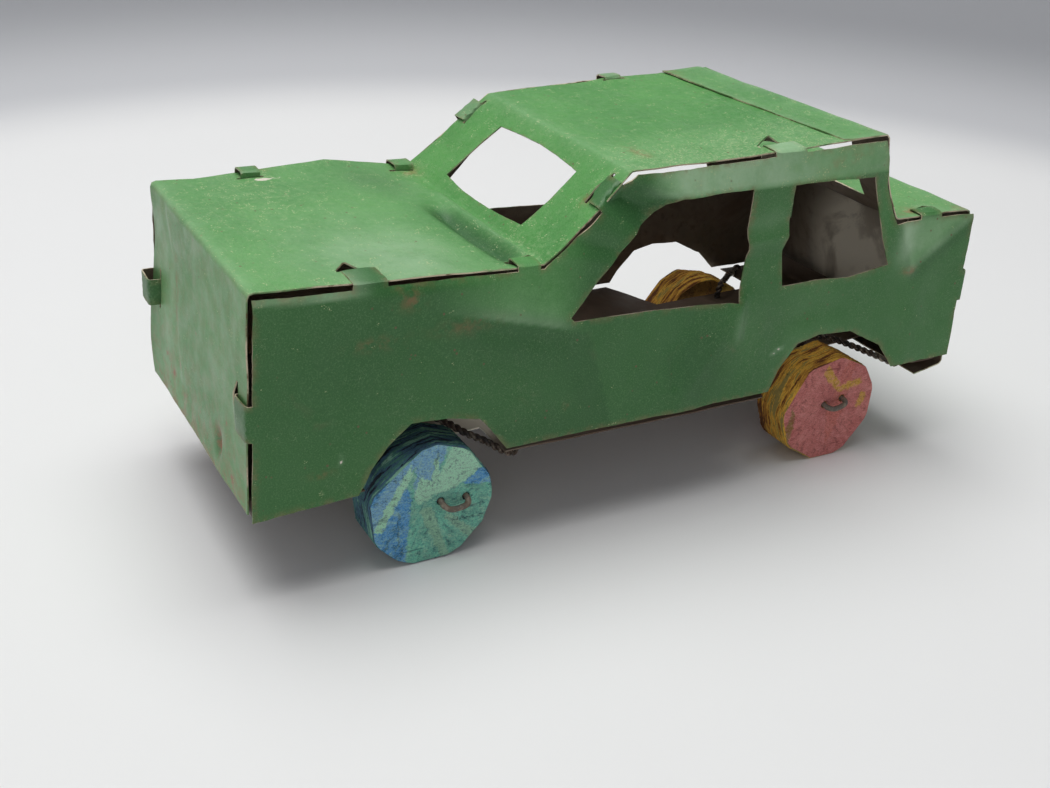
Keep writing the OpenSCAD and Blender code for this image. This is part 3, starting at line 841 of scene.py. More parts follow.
def side_outline(tabs, specs, arches):
    """The side panel's flat outline with its tabs, clockwise from the chin."""
    corners = []
    for name, start in SIDE_EDGES.items():
        corners.append(start)
        for tab in (t for t, spec in zip(tabs, specs) if spec[0] == name):
            corners += tab.outline()
    for axle, arch in zip((REAR_AXLE, FRONT_AXLE), arches[::-1]):
        corners += [(axle[0] + y, axle[1] + z) for y, z in arch[::-1]]
    return corners


def lean(y, z):
    """How far a side panel stands from the car's middle, before its dents."""
    pillar = SIDE_X - 2.7 * np.clip((z - 84) / 20, 0, 1.2)
    bulge = SIDE_X + 1.3 * share((z - 80.5) / 16)
    rail_top = 45.2 + 1.9 * ramp(y, 0, 40)
    rail = bulge + (rail_top - SIDE_X - 1.3) * np.clip((z - 97) / 9.2, 0, 1.2)
    cabin = ramp(y, -12, 6)
    behind = ramp(y, 84, 90)
    made = (pillar * (1 - cabin) + rail * cabin) * (1 - behind) + SIDE_X * behind
    rolled = share((z - (83.2 - 0.052 * (y + 113))) / 2.8) * (1 - ramp(y, -60, -36))
    return made - 1.3 * rolled ** 1.5


def left_dents(y, z):
    """Height of the left side's outer face above its plain shape."""
    h = 0.28 * waves(y, z, 60, 1.0) + 0.12 * waves(y, z, 21, 6.0)
    # Under the windscreen's foot the sheet is pulled in above a soft lit crease.
    shoulder = facet(y, z, SHOULDER)
    h -= (1.25 - 1.25 * np.exp(-shoulder / 3.2)) * ramp(y, -72, -46) * (1 - ramp(y, -36, -22))
    h += lines(y, z, (-0.5, -53, 68, -32, 61.5, 4, 5))
    # The pillar's top is knocked back in two flat facets.
    h -= 0.64 * facet(y, z, PILLAR_TOP)
    h += lines(y, z, (-1.0, -26, 89, -12, 84, 4, 3))
    # The middle pillar is kinked at the shoulder, and a long soft fold runs from its foot to the sill.
    h += lines(y, z, (1.5, 26, 81, 47, 81.6, 4.5, 4), (1.9, 29, 60, 12, 36, 13, 9),
               (1.3, 28.8, 63.6, 29, 52, 3.0, 3), (-0.7, 8, 49, 9, 40, 1.6, 2))
    h += spots(y, z, (-1.3, 58, 55, 13, 4.5), (-1.1, 47, 48, 6, 9, 0.6))
    # The rear quarter is crumpled in below the back pillar, and its top edge leans in.
    quarter = facet(y, z, [(93.6, 63.4), (121, 80.8), (121, 110), (64, 98)])
    h -= 1.9 - 1.9 * np.exp(-quarter / 5)
    h += lines(y, z, (0.7, 93.6, 63.4, 86.4, 80, 3.5, 3), (0.5, 101, 74, 98, 34, 9, 6))
    return h + spots(y, z, (-0.5, 106, 52, 9, 14), (-0.35, -92, 58, 16, 14), (-0.3, -72, 44, 8, 5))


def left_masks(y, z, edge):
    low = ramp(-edge, -2.2, 0)
    rail = ramp(z, 96.5, 98.5) * ramp(y, -6, 8)
    shoulder = facet(y, z, SHOULDER)
    quarter = ramp(facet(y, z, [(93.6, 63.4), (119, 80), (86, 82)]), 0, 3)
    under = facet(y, z, UNDER_SHOULDER)
    forward = ramp(y, -70, -40)
    rolled = ramp(z - 83.4 + 0.052 * (y + 113), -0.4, 0.9) * ramp(-y, 80, 92)
    # Pale: painted highlight on the strip above the windows, the crumpled rear quarter, the rolled top edge
    # and the shoulder where it turns up to the light, and real small scrapes.
    pale = 0.85 * rail * (1 - 0.5 * ramp(y, 34, 62)) + 0.45 * quarter + 0.5 * rolled
    pale += (0.42 * np.exp(-shoulder / 2.6) + 0.20 * np.exp(-shoulder / 9)) * (
        ramp(shoulder, 0, 1.2) * forward * ramp(-y, 22, 34))
    pale += spots(y, z, (0.70, 91.5, 72, 4, 6.5), (0.14, 36, 86, 9, 4), (0.12, 60, 44, 14, 9))
    pale += lines(y, z, (0.5, 93.6, 64, 118, 79.6, 1.8, 2), (0.22, 29, 60, 29, 53, 2.2, 3),
                  (0.4, -92.4, 39.2, -92.6, 36.6, 0.7, 0.5), (0.55, 44.6, 43.6, 48.6, 45.2, 0.8, 0.8))
    # Deep: painted shade over most of the side, least where the sheet turns up to the light, and more at the
    # pillar's top and under the shoulder.
    deep = 0.86 + 0.4 * ramp(facet(y, z, PILLAR_TOP), 0, 2.5) - 0.5 * quarter - 1.0 * rail
    deep += 0.4 * np.exp(-under / 7) * ramp(under, 0, 0.8) * ramp(y, -70, -44) - 0.16 * ramp(y, 34, 60)
    deep -= 0.75 * ramp(shoulder, 0, 5) * forward * ramp(-y, 18, 34)
    deep += spots(y, z, (0.10, -84, 66, 26, 17), (0.22, 17, 46, 8, 12), (-0.2, 36, 84, 9, 16),
                  (-0.3, 81, 88, 5, 14), (-0.22, 34, 52, 6, 11), (0.15, 36, 78.5, 9, 2.5))
    deep += lines(y, z, (0.2, 95, 61.5, 119, 76.6, 3.5, 2))
    stain = 0.35 * low + spots(
        y, z, (0.8, -73, 79.9, 3.2, 2.6), (0.6, -82, 69.2, 6, 1.6), (1, 93.6, 63.7, 2.6, 1.0),
        (0.8, 30.4, 91, 0.9, 2.4), (0.9, -115.6, 37.4, 1.0, 1.3), (0.6, 62, 102, 8, 1.4, 0.15),
        (0.7, -97.6, 35, 3, 0.8), (0.5, -57, 70, 8, 2), (0.8, -26.2, 40.8, 0.7, 1.1))
    bare = lines(y, z, (0.95, -92.3, 39.6, -92.7, 36.8, 0.9, 0.6), (0.95, 44.4, 43.4, 48.8, 45.4, 0.8, 0.8))
    dust = -0.10 + 0.4 * low + 0.4 * rail
    return {"dust": dust, "pale": share(pale), "deep": share(deep), "stain": stain, "bare": bare}


def right_dents(y, z):
    h = 0.5 * waves(y, z, 55, 7.0) + 0.2 * waves(y, z, 19, 3.3)
    h += spots(y, z, (-1.3, -20, 50, 22, 12), (-1.0, 98, 58, 12, 9), (-1.0, -88, 60, 14, 10))
    return h + lines(y, z, (0.9, 34, 64, 20, 36, 12, 8), (0.6, -60, 40, -95, 76, 9, 8))


def right_masks(y, z, edge):
    low = ramp(-edge, -2.2, 0)
    stain = 0.35 * low + spots(y, z, (0.9, 12, 56, 6, 2, 0.4), (0.9, -74, 68, 3, 4), (0.8, 104, 40, 5, 2),
                               (0.7, -100, 40, 3, 3))
    # Pale: painted highlight, mostly on the strip above the windows. Deep: painted shade over the far side,
    # darkest on the tab past the nose. The inner tin is darkened, part grime and part painted shade.
    return {"dust": 0.25 + 0.4 * low + spots(y, z, (0.3, -50, 76, 30, 6)),
            "pale": 0.10 + 0.30 * ramp(z, 96.5, 99) + spots(y, z, (0.25, 96, 66, 9, 9)),
            "deep": 0.4 + ramp(-y, 117, 118.5) + spots(y, z, (0.2, 10, 48, 20, 10)),
            "stain": stain, "grime": np.full(len(y), 0.5)}


def side_panel(word, side, dents, masks, specs, arches):
    def x_at(y, z):
        return lean(y, z) + dents(y, z)

    tabs = [Tab(spec, x_at) for spec in specs]

    def place(y, z):
        points = np.stack([x_at(y, z), y, z], 1)
        for tab in tabs:
            tab.bend(y, z, points, x_at)
        points[:, 0] *= side
        return points

    outline = side_outline(tabs, specs, arches)
    sheet_piece(word + "_side", outline, [FRONT_WINDOW, REAR_WINDOW], place, masks, step=1.2)


# ---- floor pan

FLOOR_BEND_Y = -44.4
floor_track = Track([(NOSE_Y + 1.2, CHIN_Z + 6), (NOSE_Y + 1, CHIN_Z), (FLOOR_BEND_Y, 29.6), (112.8, 30),
                     (113.2, 37.2)], FOLD_R)
CHIN_S, BELLY_S = floor_track.folds[:2]
floor_s = measured(BELLY_S, FLOOR_BEND_Y)


def floor_masks(u, s, edge):
    # A spot of painted light on the floor's inner face, seen through the near front arch, and a darkening
    # that is part grime and part painted shade.
    painted_light_spot = mound(u, s, 29, floor_s(-46), 12, 12)
    return {"clean": 2.2 * painted_light_spot, "grime": 0.75 - painted_light_spot}


def floor_pan():
    half, inner_front, inner_rear = 46.6, 30.6, 26.8
    front = (floor_s(FRONT_AXLE[0] - 19.4), floor_s(FRONT_AXLE[0] + 22))
    rear = (floor_s(REAR_AXLE[0] - 22), floor_s(REAR_AXLE[0] + 26))
    outline = []
    for side, rear_end in ((1, rear[1] + 2), (-1, rear[1] - 7)):
        inner_end = inner_rear - 2 - 2 * side
        edge = [(half, 0), (half, front[0]), (inner_front, front[0]), (inner_front, front[1]),
                (half, front[1]), (half, rear[0] - 9), (inner_rear, rear[0]), (inner_end, rear_end),
                (half, rear_end), (half, floor_track.length)]
        outline += [(side * u, s) for u, s in edge[::side]]

    def place(u, s):
        h = 0.35 * waves(u, s, 40, 4.0) - 0.5 * mound(u, s, 5, floor_s(20), 26, 30)
        h -= 0.5 * ramp(np.abs(u), 42, 46.6) * mound(u, s, 46, floor_s(15), 60, 40)
        drop = 1.3 * ramp(-u, -30, 44) * ramp(-s, -CHIN_S - 8, 2 - CHIN_S)
        return floor_track.bent(u, s, h, up=-drop)

    sheet_piece("floor_pan", outline, [], place, floor_masks, floor_track.folds, 1.8, "bare_tin")


# ---- wire


def smooth_path(points, pitch):
    """A smooth line through the points, in even short steps."""
    p = np.array(points, float)
    p = np.concatenate([[2 * p[0] - p[1]], p, [2 * p[-1] - p[-2]]])
    made = []
    for a, b, c, d in zip(p, p[1:], p[2:], p[3:]):
        count = max(2, int(np.linalg.norm(c - b) / pitch))
        for i in range(count):
            t = i / count
            made.append(0.5 * (2 * b + (c - a) * t + (2 * a - 5 * b + 4 * c - d) * t * t
                               + (3 * b - a - 3 * c + d) * t ** 3))
    return np.array(made + [p[-2]])


def frames(path):
    """Two directions across a path that turn with it but don't twist."""
    along = units(np.gradient(path, axis=0))
    across = [unit(np.cross(along[0], (0.3, 0.5, 0.8)))]
    for d in along[1:]:
        across.append(unit(across[-1] - d * (across[-1] @ d)))
    across = np.array(across)
    return across, np.cross(along, across)


def tube(path, radius, sides):
    """Points and faces of a closed tube along a path, a little uneven."""
    count = len(path)
    u, v = frames(path)
    turns = np.arange(sides) * 2 * math.pi / sides
    girth = radius * (1 + 0.03 * np.sin(np.arange(count) * 0.9) + DRAWS.normal(0, 0.015, count))
    ring = [path + girth[:, None] * (math.cos(a) * u + math.sin(a) * v) for a in turns]
    caps = [ring_face(0, sides, 0)[::-1], ring_face(0, sides, count - 1)]
    return np.stack(ring, 1).reshape(-1, 3), [*bands(0, sides, count), *caps]


def wire_piece(name, node, body, parts, material):
    points, faces, first = [], [], 0
    for p, f in parts:
        points.append(p)
        faces += [tuple(i + first for i in face) for face in f]
        first += len(p)
    made = mesh_object(name, np.concatenate(points), faces, [0] * len(faces), [material], {}, sharp_deg=50)
    placed(made, node, body)


def hook(side, face_x, first, second, sag):
    """The end of an axle past a wheel: out of one hole, across and back into the other."""
    out = min(face_x + 2.75, HOOK_OUT_X)
    first, second = np.array(first), np.array(second)
    across = second - first
    down = np.array([-across[1], across[0]]) * -sag / np.linalg.norm(across)
    # Each step is x, the share of the way to the second hole and the share of the sag.
    route = [(face_x - 8, 0, 0), (face_x - 2, 0, 0), (face_x + 0.4, 0, 0), (out - 1.1, 0.06, 0.5),
             (out - 0.1, 0.25, 0.95), (out, 0.6, 1), (out - 0.5, 0.94, 0.75), (face_x + 1.1, 1, 0),
             (face_x - 1.5, 1, 0), (face_x - 6.5, 1, 0)]
    return [(side * x, *(first + across * part + down * low)) for x, part, low in route]


def axle_piece(word, axle, face_x, hooks):
    """One wire through both wheels, with a hooked end on each side."""
    left, right = (hook(side, face_x, *holes) for side, holes in zip((1, -1), hooks))
    shaft = [(x, *axle) for x in (12 - face_x, -14, 14, face_x - 12)]
    path = smooth_path(right[::-1] + shaft + left, 0.35)
    wire_piece(word + "_axle_wire", word + "_axle", word + "_wheelset", [tube(path, AXLE_R, 14)], WIRE)


def turned(axle, radius, degrees):
    a = math.radians(degrees)
    return axle[0] + radius * math.cos(a), axle[1] + radius * math.sin(a)


# Where each wire comes out of a wheel and where its end goes back in, as (y, z).
FRONT_LEFT_HOLES = ((-63.6, 18.4), (-56.0, 18.3))
REAR_LEFT_HOLES = ((72.2, 19.2), (79.2, 20.2))
FRONT_RIGHT_HOLES = (FRONT_AXLE, turned(FRONT_AXLE, 7.6, 140))
REAR_RIGHT_HOLES = (REAR_AXLE, turned(REAR_AXLE, 7.6, -75))

# How far in from a wheel's face its hanger stands, and each hanger's route from there and from its axle, as
# (x, y, z): up from the axle, over the wheel's inner edge and out to the sill.
HANGER_X = -19
HANGER_ROUTES = {
    "front": [(0, 0, 2.4), (0, 0.3, 9), (0.6, 1.6, 17), (4.5, 5.5, 19.2), (10, 9.4, 18.4), (13, 12.6, 16.6),
              (14.6, 18.4, 13.4), (16.2, 22.6, 10.6), (17.2, 25.4, 9.6)],
    "rear": [(0, 0, 2.4), (0, 0.3, 9), (0.4, 2.4, 16.6), (4, 7.4, 17.8), (9, 12.2, 16.6), (14, 17.6, 14.6),
             (18, 21.6, 13), (20.2, 24.2, 12)],
}


def hanger_piece(end, word, side, axle, face_x):
    """A twisted pair of wires with an eye round the axle and a curl at the sill."""
    y, z = axle
    x = face_x + HANGER_X
    path = smooth_path([(side * (x + a), y + b, z + c) for a, b, c in HANGER_ROUTES[end]], 0.3)
    u, v = frames(path)
    strands = []
    for start in (0, math.pi):
        turn = path_length(path) * 2 * math.pi / TWIST_PITCH + start
        strands.append(path + TWIST_R * (np.cos(turn)[:, None] * u + np.sin(turn)[:, None] * v))
    eye = [(side * (x + 0.9 * math.sin(a * 0.5)), y + EYE_R * math.sin(a), z + EYE_R * math.cos(a))
           for a in np.linspace(0.35, 2 * math.pi - 0.35, 14)]
    curl = [path[-1] + np.array([0, CURL_R * math.sin(a), CURL_R * (1 - math.cos(a)) - 0.4])
            for a in np.linspace(0, 5.2, 12)]
    strands += [smooth_path(eye, 0.3), smooth_path(curl, 0.3)]
    name = f"{end}_{word}_hanger"
    wire_piece(name + "_wire", name, "car_body", [tube(p, TWIST_R, 9) for p in strands], DARK_WIRE)


def wires():
    axle_piece("front", FRONT_AXLE, FRONT_FACE_X, ((*FRONT_LEFT_HOLES, 1.7), (*FRONT_RIGHT_HOLES, 0.6)))
    axle_piece("rear", REAR_AXLE, REAR_FACE_X, ((*REAR_LEFT_HOLES, 1.0), (*REAR_RIGHT_HOLES, 0.6)))
    for side, word in ((1, "left"), (-1, "right")):
        hanger_piece("front", word, side, FRONT_AXLE, FRONT_FACE_X)
        hanger_piece("rear", word, side, REAR_AXLE, REAR_FACE_X)


# ---- carved foam wheels


def carved_radius(turn, radius, seed):
    """Radius of the wheel's outline at an angle, cut by uneven flats; the first flat is on the ground."""
    best = np.full(np.shape(turn), radius, float)
    for k in range(FLAT_COUNT):
        middle = math.radians(360 * k / FLAT_COUNT + 9 * math.sin(math.radians(k * seed)) - 90)
        depth = 0.6 * (1 + 0.5 * math.sin(math.radians(k * (seed + 40))))
        across = np.cos(turn - middle)
        reach = np.where(across > 0.2, (radius - depth) / np.maximum(across, 0.2), 1e9)
        best = np.minimum(best, reach)
    return best


def circle(centre, radius, count):
    """Points round a circle; the radius may be one number or one for each point."""
    turns = np.arange(count) * 2 * math.pi / count
    return np.stack([centre[0] + radius * np.cos(turns), centre[1] + radius * np.sin(turns)], 1)


def foam_wheel(end, word, slot, side, axle, radius, face_x, seed, pare, holes, materials):
    """A disc knifed from layered foam: flats round it, rough faces, and two holes for the wire's hook."""
    turns = np.arange(RIM_POINTS) * 2 * math.pi / RIM_POINTS
    rim = carved_radius(turns, radius, seed)
    centre = np.array(axle)
    chamfer = 0.35 + 0.2 * np.sin(turns * 3 + seed)
    # One stretch of the outer edge is pared away in a long slanting cut.
    pare_turn, pare_depth = pare
    cut_line = (radius - pare_depth) / np.maximum(np.cos(turns - math.radians(pare_turn)), 0.3)
    pared = np.clip(rim - cut_line, 0, None)
    drilled = [circle(hole, HOLE_R, HOLE_POINTS) for hole in holes]
    flat, faces, edge = tiled(circle(centre, rim - chamfer - pared, RIM_POINTS), drilled, FACE_STEP, (), 0)
    dy, dz = (flat - centre).T
    rough = 0.16 * waves(dy, dz, 13, seed) + 0.08 * waves(dy, dz, 4.2, seed + 2)
    rough += lines(dy, dz, (0.10, -9, 9, 2, -2, 1.2, 3)) + spots(dy, dz, (-0.28, 0, 0, 4, 4))
    rough += DRAWS.normal(0, 0.022, len(dy)) * ramp(edge, 0.2, 1)
    made = [np.column_stack([face_x + np.minimum(rough, 0.25), flat])]
    every = [tuple(f) for f in faces]
    slots = [0] * len(every)
    first = len(flat)
    # Tread: rings from the outer face to the inner one, then rings that close the inner face.
    depths = [0.0, 0.4, *np.linspace(0.9, WHEEL_W - 0.9, 19), WHEEL_W - 0.4, WHEEL_W]
    for d in depths:
        close = min(d, WHEEL_W - d)
        shrink = chamfer * max(0.0, 1 - close / 0.6) ** 1.3 + pared * max(0.0, 1 - d / PARE_REACH)
        cut = 0.10 * np.sin(turns * 47 + 5 * math.sin(d) + seed) + 0.07 * np.sin(turns * 89 + d * 3)
        grain = DRAWS.normal(0, 0.035, RIM_POINTS) * (close > 0)
        reach = rim - (shrink - (cut * 0.6 + grain) * (close > 0.3))
        made.append(np.column_stack([np.full(RIM_POINTS, face_x - d), circle(centre, reach, RIM_POINTS)]))
    shares = np.linspace(0.94, 0.08, 16)
    for part in shares:
        back = circle(centre, (rim - chamfer) * part, RIM_POINTS)
        bumpy = 0.18 * waves(back[:, 0], back[:, 1], 9, seed + 4)
        made.append(np.column_stack([face_x - WHEEL_W - np.minimum(bumpy, 0), back]))
    levels = len(depths) + len(shares)
    every += [*bands(first, RIM_POINTS, levels), ring_face(first, RIM_POINTS, levels - 1)]
    slots += [1] * RIM_POINTS * (len(depths) - 1) + [0] * (RIM_POINTS * len(shares) + 1)
    first += levels * RIM_POINTS
    for hole in drilled:
        levels = len(HOLE_DEPTHS)
        made += [np.column_stack([np.full(HOLE_POINTS, face_x - d), hole]) for d in HOLE_DEPTHS]
        every += [f[::-1] for f in bands(first, HOLE_POINTS, levels)]
        every.append(ring_face(first, HOLE_POINTS, levels - 1))
        slots += [1] * (HOLE_POINTS * (levels - 1) + 1)
        first += levels * HOLE_POINTS
    points = np.concatenate(made)
    points[:, 0] *= side
    wheel = mesh_object(f"{end}_{word}_foam_wheel", points, every, slots, materials, {}, sharp_deg=32)
    placed(wheel, f"{end}_{word}_wheel", end + "_wheelset")


def region(t, y, z, corners):
    """1 inside a convex outline, given anticlockwise in millimetres, with a soft ragged edge."""
    sides = []
    for (y0, z0), (y1, z1) in zip(corners, corners[1:] + corners[:1]):
        length = math.hypot(y1 - y0, z1 - z0)
        ny, nz = -(z1 - z0) / length, (y1 - y0) / length
        sides.append(t.less(t.maths("MULTIPLY_ADD", y, ny, t.times(z, nz)), y0 * ny + z0 * nz))
    return t.fade(reduce(lambda first, second: t.maths("MINIMUM", first, second), sides), -0.35, 0.35)


def foam_face(name, axle, base, layers, fleck, shade, cut_turn):
    """A knifed face of layered foam: patches of colour with torn edges and fine cut fibres."""
    t = Tree(name)
    parts = t.add("SeparateXYZ", Vector=t.where).outputs
    torn = t.noise(520, 4, 0.7)
    other = t.noise(430, 4, 0.7, t.moved(shift=(2, 5, 1)))
    y = t.plus(t.maths("MULTIPLY_ADD", parts[1], 1000, -axle[0]), t.times(t.less(torn, 0.5), 3.4))
    z = t.plus(t.maths("MULTIPLY_ADD", parts[2], 1000, -axle[1]), t.times(t.less(other, 0.5), 3.4))
    t.colour = t.mix(t.fade(t.noise(130, 4, 0.6), 0.35, 0.65), *base)
    for corners, tint in layers:
        t.coat(region(t, y, z, corners), tint)
    # Torn fibres fan out from the place where the wire goes through.
    spoke = t.add("CombineXYZ", X=0.0, Y=t.plus(y, 1.0), Z=t.less(z, 1.0)).outputs[0]
    reach = t.add("VectorMath", {"operation": "LENGTH"}, Vector=spoke).outputs["Value"]
    way = t.add("VectorMath", {"operation": "NORMALIZE"}, Vector=spoke).outputs[0]
    _, way_y, way_z = t.add("SeparateXYZ", Vector=way).outputs
    fan = t.noise(9, 5, 0.75, t.add("CombineXYZ", X=t.times(reach, 0.03), Y=way_y, Z=way_z).outputs[0])
    t.coat(t.fade(fan, 0.50, 0.64, 0, 0.55), fleck)
    t.coat(t.fade(fan, 0.36, 0.48, 0.60, 0), shade)
    fibres = t.noise(1900, 3, 0.7, t.moved((1, 0.55, 1.4), (cut_turn, 0, 0)), 1.2)
    t.coat(t.fade(fibres, 0.50, 0.62, 0, 0.50), fleck)
    t.coat(t.fade(fibres, 0.36, 0.48, 0.42, 0), shade)
    t.coat(t.fade(t.noise(2300, 3, 0.7), 0.56, 0.68, 0, 0.45), shade)
    # Knife grooves: dipped in the bumps and darkened with painted shade.
    grooves = t.noise(260, 2, 0.6, t.moved((1, 0.12, 2.2), (cut_turn - 32, 0, 0)))
    groove = t.fade(grooves, 0.66, 0.72, 0, 0.6)
    t.coat(groove, shade)
    height = t.plus(t.times(fibres, 1.2), t.times(t.noise(2200, 3, 0.7), 0.8))
    height = t.plus(t.less(height, groove), fan)
    return t.finish(height, 0.0006, 0.95, Roughness=0.92, Specular_IOR_Level=0.18)


def foam_tread(name, shades, spread):
    """The knifed rim: the foam's layers seen edge-on as streaks along the rim."""
    t = Tree(name)
    layers = t.noise(46, 3, 0.6, t.moved((spread, 0.6, 0.6)))
    fine = t.noise(190, 4, 0.65, t.moved((spread, 0.5, 0.5), shift=(1, 0, 3)))
    blend = t.maths("MULTIPLY_ADD", fine, 0.85, t.times(layers, 0.5))
    t.colour, *others = shades
    for shade, low in zip(others, (0.60, 0.67, 0.74)):
        t.coat(t.fade(blend, low, low + 0.035), shade)
    t.coat(t.fade(t.noise(800, 4, 0.7), 0.56, 0.72, 0, 0.6), (0.010, 0.014, 0.014))
    height = t.plus(fine, t.times(t.noise(1500, 3, 0.7), 0.7))
    return t.finish(height, 0.0004, 0.9, Roughness=0.94, Specular_IOR_Level=0.15)


# Colours of the foam, and its layers: (y, z) outlines on a wheel's outer face from its axle, back to front.
BLUE, LIGHT_BLUE = (0.13, 0.42, 0.82), (0.26, 0.54, 0.82)
TEAL, DEEP_TEAL = (0.25, 0.74, 0.56), (0.21, 0.54, 0.42)
MINT, MOSS = (0.56, 0.98, 0.70), (0.38, 0.68, 0.48)
# Thin dark lines of painted shade where knife slits cut into the face.
KNIFE_SLIT_SHADE = (0.015, 0.045, 0.075)
YELLOW, OCHRE, BROWN = (0.82, 0.50, 0.075), (0.42, 0.22, 0.05), (0.10, 0.045, 0.02)
BLUE_LAYERS = [
    ([(-30, -30), (2, -30), (0, -12), (-6, 4), (-4, 30), (-30, 30)], BLUE),
    ([(-18, -6), (-13, -1), (-2, 17), (-8, 17), (-20, -2)], LIGHT_BLUE),
    ([(-17, -4.6), (-14.8, -6), (-5.4, 10.5), (-6, 14), (-9, 9)], MINT),
    ([(-5.2, 3), (1.4, 8.6), (6, 20), (-4, 20)], LIGHT_BLUE),
    ([(-5.4, 3.6), (-4, 0.6), (0.4, 1.8), (1, 7), (-3.6, 9.4)], MINT),
    ([(0.2, 3), (1.6, 3), (2.4, 14), (0.6, 14)], MINT),
    ([(1.4, 2.6), (9, 4.6), (15, 8.2), (11, 17), (6, 17), (2, 8.6)], MINT),
    ([(9, 4.4), (20, 2.6), (20, 8), (14.6, 8.4)], BLUE),
    ([(-3.4, -1), (-0.6, -9), (3.4, -19), (6, -19), (0.4, -1)], (0.34, 0.64, 0.44)),
    ([(4, -5), (12.4, -14.4), (14.4, -12), (5, -3.6)], MOSS),
    ([(-9.8, -11.5), (-9.55, -11.5), (-9.55, -0.5), (-9.8, -0.5)], KNIFE_SLIT_SHADE),
    ([(-15.3, -14), (-15.1, -14.1), (-12.3, -8.8), (-12.5, -8.7)], KNIFE_SLIT_SHADE),
    ([(7, -6.6), (16.5, -6.9), (16.5, -6.65), (7, -6.35)], KNIFE_SLIT_SHADE),
]
PINK_LAYERS = [
    ([(1, -14), (6, -2), (9, 17), (5, 17), (-1, -2)], (0.76, 0.23, 0.19)),
    ([(-4.5, 13.0), (1.4, 6.6), (3.0, 8.6), (-2.4, 15.6)], YELLOW),
    ([(1.2, 7.4), (2.8, 5.2), (12.2, 6.6), (11.6, 9.0)], YELLOW),
    ([(11, -2), (13.4, -1), (14.8, 3), (12.6, 4)], (0.80, 0.48, 0.08)),
    ([(-17, -7), (-14.4, -9), (-13, 0), (-14.8, 3)], (0.34, 0.22, 0.07)),
]
OCHRE_LAYERS = [
    ([(-2, 0), (6, -20), (20, -14), (4, 2)], (0.58, 0.34, 0.07)),
    ([(-20, 2), (-3, 0), (-6, 18), (-20, 14)], (0.27, 0.14, 0.045)),
    ([(2, 4), (6, 3), (14, 16), (6, 19)], (0.60, 0.38, 0.08)),
    ([(-14, -6), (-11, -9), (0, -3), (-3, 0)], (0.34, 0.24, 0.08)),
]
BLUE_SHADES = [(0.027, 0.038, 0.050), (0.070, 0.145, 0.22), (0.085, 0.23, 0.185), (0.23, 0.46, 0.34)]
OCHRE_SHADES = [(0.15, 0.06, 0.024), (0.50, 0.23, 0.045), (0.80, 0.46, 0.07), (0.34, 0.26, 0.08)]


def wheels():
    blue = foam_face("blue_foam_face", FRONT_AXLE, (TEAL, DEEP_TEAL), BLUE_LAYERS,
                     (0.50, 0.80, 0.60), (0.02, 0.06, 0.10), 35)
    blue_rim = foam_tread("blue_foam_tread", BLUE_SHADES, 5.5)
    pink = foam_face("pink_foam_face", REAR_AXLE, ((0.80, 0.29, 0.26), (0.70, 0.21, 0.195)), PINK_LAYERS,
                     (0.92, 0.42, 0.38), (0.34, 0.08, 0.075), -20)
    ochre_rim = foam_tread("ochre_foam_tread", OCHRE_SHADES, 5.0)
    ochre_front, ochre_rear = (
        foam_face("ochre_foam_face_" + end, axle, (OCHRE, (0.30, 0.14, 0.04)), OCHRE_LAYERS,
                  (0.50, 0.30, 0.08), BROWN, turn)
        for end, axle, turn in (("front", FRONT_AXLE, 60), ("rear", REAR_AXLE, 10)))
    front = (FRONT_AXLE, FRONT_WHEEL_R, FRONT_FACE_X)
    rear = (REAR_AXLE, REAR_WHEEL_R, REAR_FACE_X)
    # After the wheel's place come the seed of its flats, its pared edge (angle and depth) and its holes.
    foam_wheel("front", "left", "blue_foam", 1, *front, 131, (128, 3.0), FRONT_LEFT_HOLES, [blue, blue_rim])
    foam_wheel("front", "right", "ochre_foam", -1, *front, 83, (40, 1.6), FRONT_RIGHT_HOLES,
               [ochre_front, ochre_rim])
    foam_wheel("rear", "left", "pink_foam", 1, *rear, 59, (150, 1.6), REAR_LEFT_HOLES, [pink, ochre_rim])
    foam_wheel("rear", "right", "ochre_foam", -1, *rear, 167, (75, 2.0), REAR_RIGHT_HOLES,
               [ochre_rear, ochre_rim])


# ---- studio


def stage_material():
    """Matt pale card, painted greyer up the wall as painted shade for the light falling off there."""
    t = Tree("pale_sweep")
    height = t.add("SeparateXYZ", Vector=t.where).outputs[2]
    t.colour = t.mix(t.noise(3, 2, 0.5), (0.78, 0.78, 0.775), (0.81, 0.81, 0.80))
    # Painted shade: the sweep darkens as it rises.
    t.coat(t.fade(height, 0.0, 0.012), (0.54, 0.545, 0.56))
    t.coat(t.fade(height, 0.006, 0.045), (0.30, 0.305, 0.32))
    return t.finish(t.noise(700, 3, 0.6), 0.00005, 0.3, Roughness=0.85, Specular_IOR_Level=0.2)


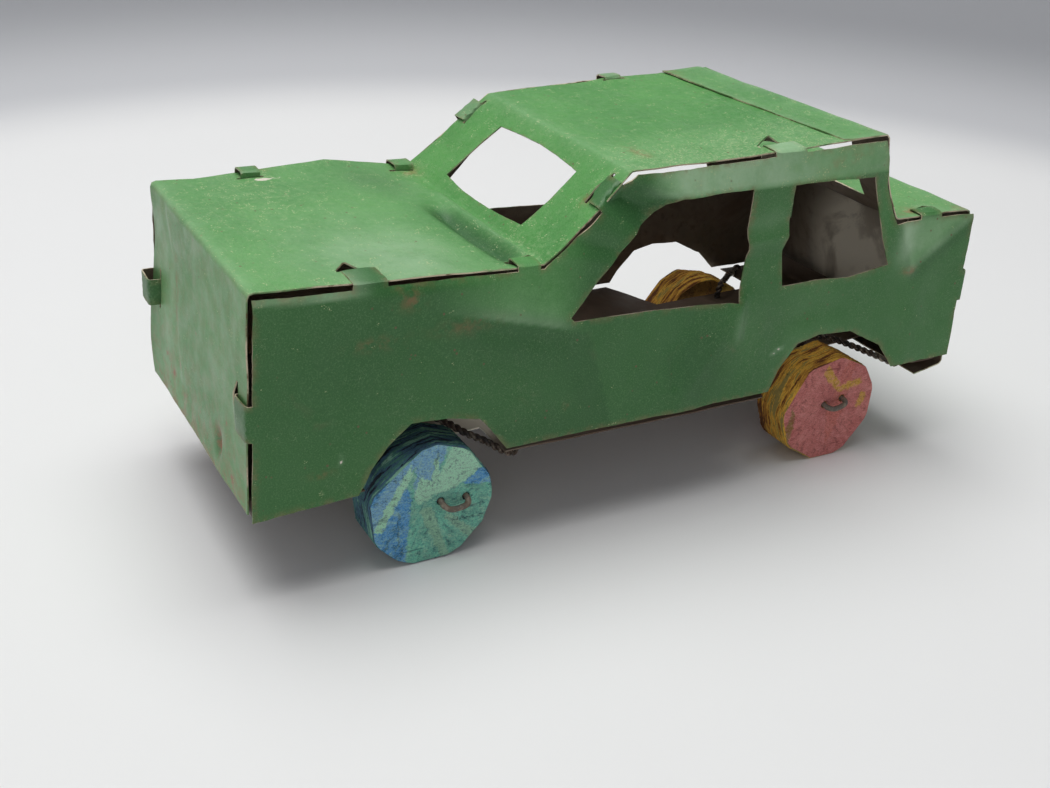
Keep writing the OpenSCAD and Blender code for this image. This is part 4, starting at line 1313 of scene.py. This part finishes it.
def studio_sweep():
    """A round pale floor that curves up into a wall, in metres."""
    flat, bend, wall, count = 0.36, 0.5, 1.3, 96
    profile = [(0.02, 0), (0.2, 0)]
    for a in np.linspace(0, math.pi / 2, 32):
        profile.append((flat + bend * math.sin(a), bend * (1 - math.cos(a))))
    profile.append((flat + bend, wall))
    points = [(*p, z) for radius, z in profile for p in circle((0, 0), radius, count)]
    faces = [ring_face(0, count, 0)] + [f[::-1] for f in bands(0, count, len(profile))]
    mesh = bpy.data.meshes.new("studio_sweep")
    mesh.from_pydata(points, [], faces)
    mesh.materials.append(stage_material())
    mesh.shade_smooth()
    linked("studio_sweep", mesh)


def soft_light(name, place, size, power):
    """A soft box aimed at the middle of the car."""
    data = bpy.data.lights.new(name, "AREA")
    data.shape = "RECTANGLE"
    data.size, data.size_y = size
    data.energy = power
    made = linked(name, data)
    made.location = place
    aim = Vector((0, 0, 0.04)) - Vector(place)
    made.rotation_euler = aim.to_track_quat("-Z", "Y").to_euler()


def lights():
    soft_light("overhead", (-0.15, -0.09, 1.15), (1.05, 1.05), 14.3)
    soft_light("fill", (0.62, -0.34, 0.32), (0.5, 0.36), 0.45)
    world = bpy.data.worlds.new("studio_air")
    world.use_nodes = True
    air = world.node_tree.nodes["Background"].inputs
    air["Color"].default_value = (0.62, 0.65, 0.70, 1)
    air["Strength"].default_value = 0.08
    bpy.context.scene.world = world
    bpy.context.scene.view_settings.view_transform = "Standard"


def camera():
    """A camera in front of the car's left side, above it and rolled a little."""
    azimuth, elevation, roll = (math.radians(d) for d in (61.07, 26.43, 2.70))
    turn = Matrix.Rotation(azimuth, 4, "Z") @ Matrix.Rotation(math.pi / 2 - elevation, 4, "X")
    data = bpy.data.cameras.new("camera")
    data.lens = 46.3
    data.sensor_width = 36
    data.clip_start = 0.01
    made = linked("camera", data)
    place = Matrix.Translation((0.33438, -0.19804, 0.20990))
    made.matrix_world = place @ turn @ Matrix.Rotation(roll, 4, "Z")
    bpy.context.scene.camera = made


camera()
studio_sweep()
lights()
front_skin()
tail_skin()
side_panel("left", 1, left_dents, left_masks, NEAR_TABS, (FRONT_ARCH, REAR_ARCH))
side_panel("right", -1, right_dents, right_masks, FAR_TABS, (FAR_FRONT_ARCH, FAR_REAR_ARCH))
floor_pan()
wires()
wheels()
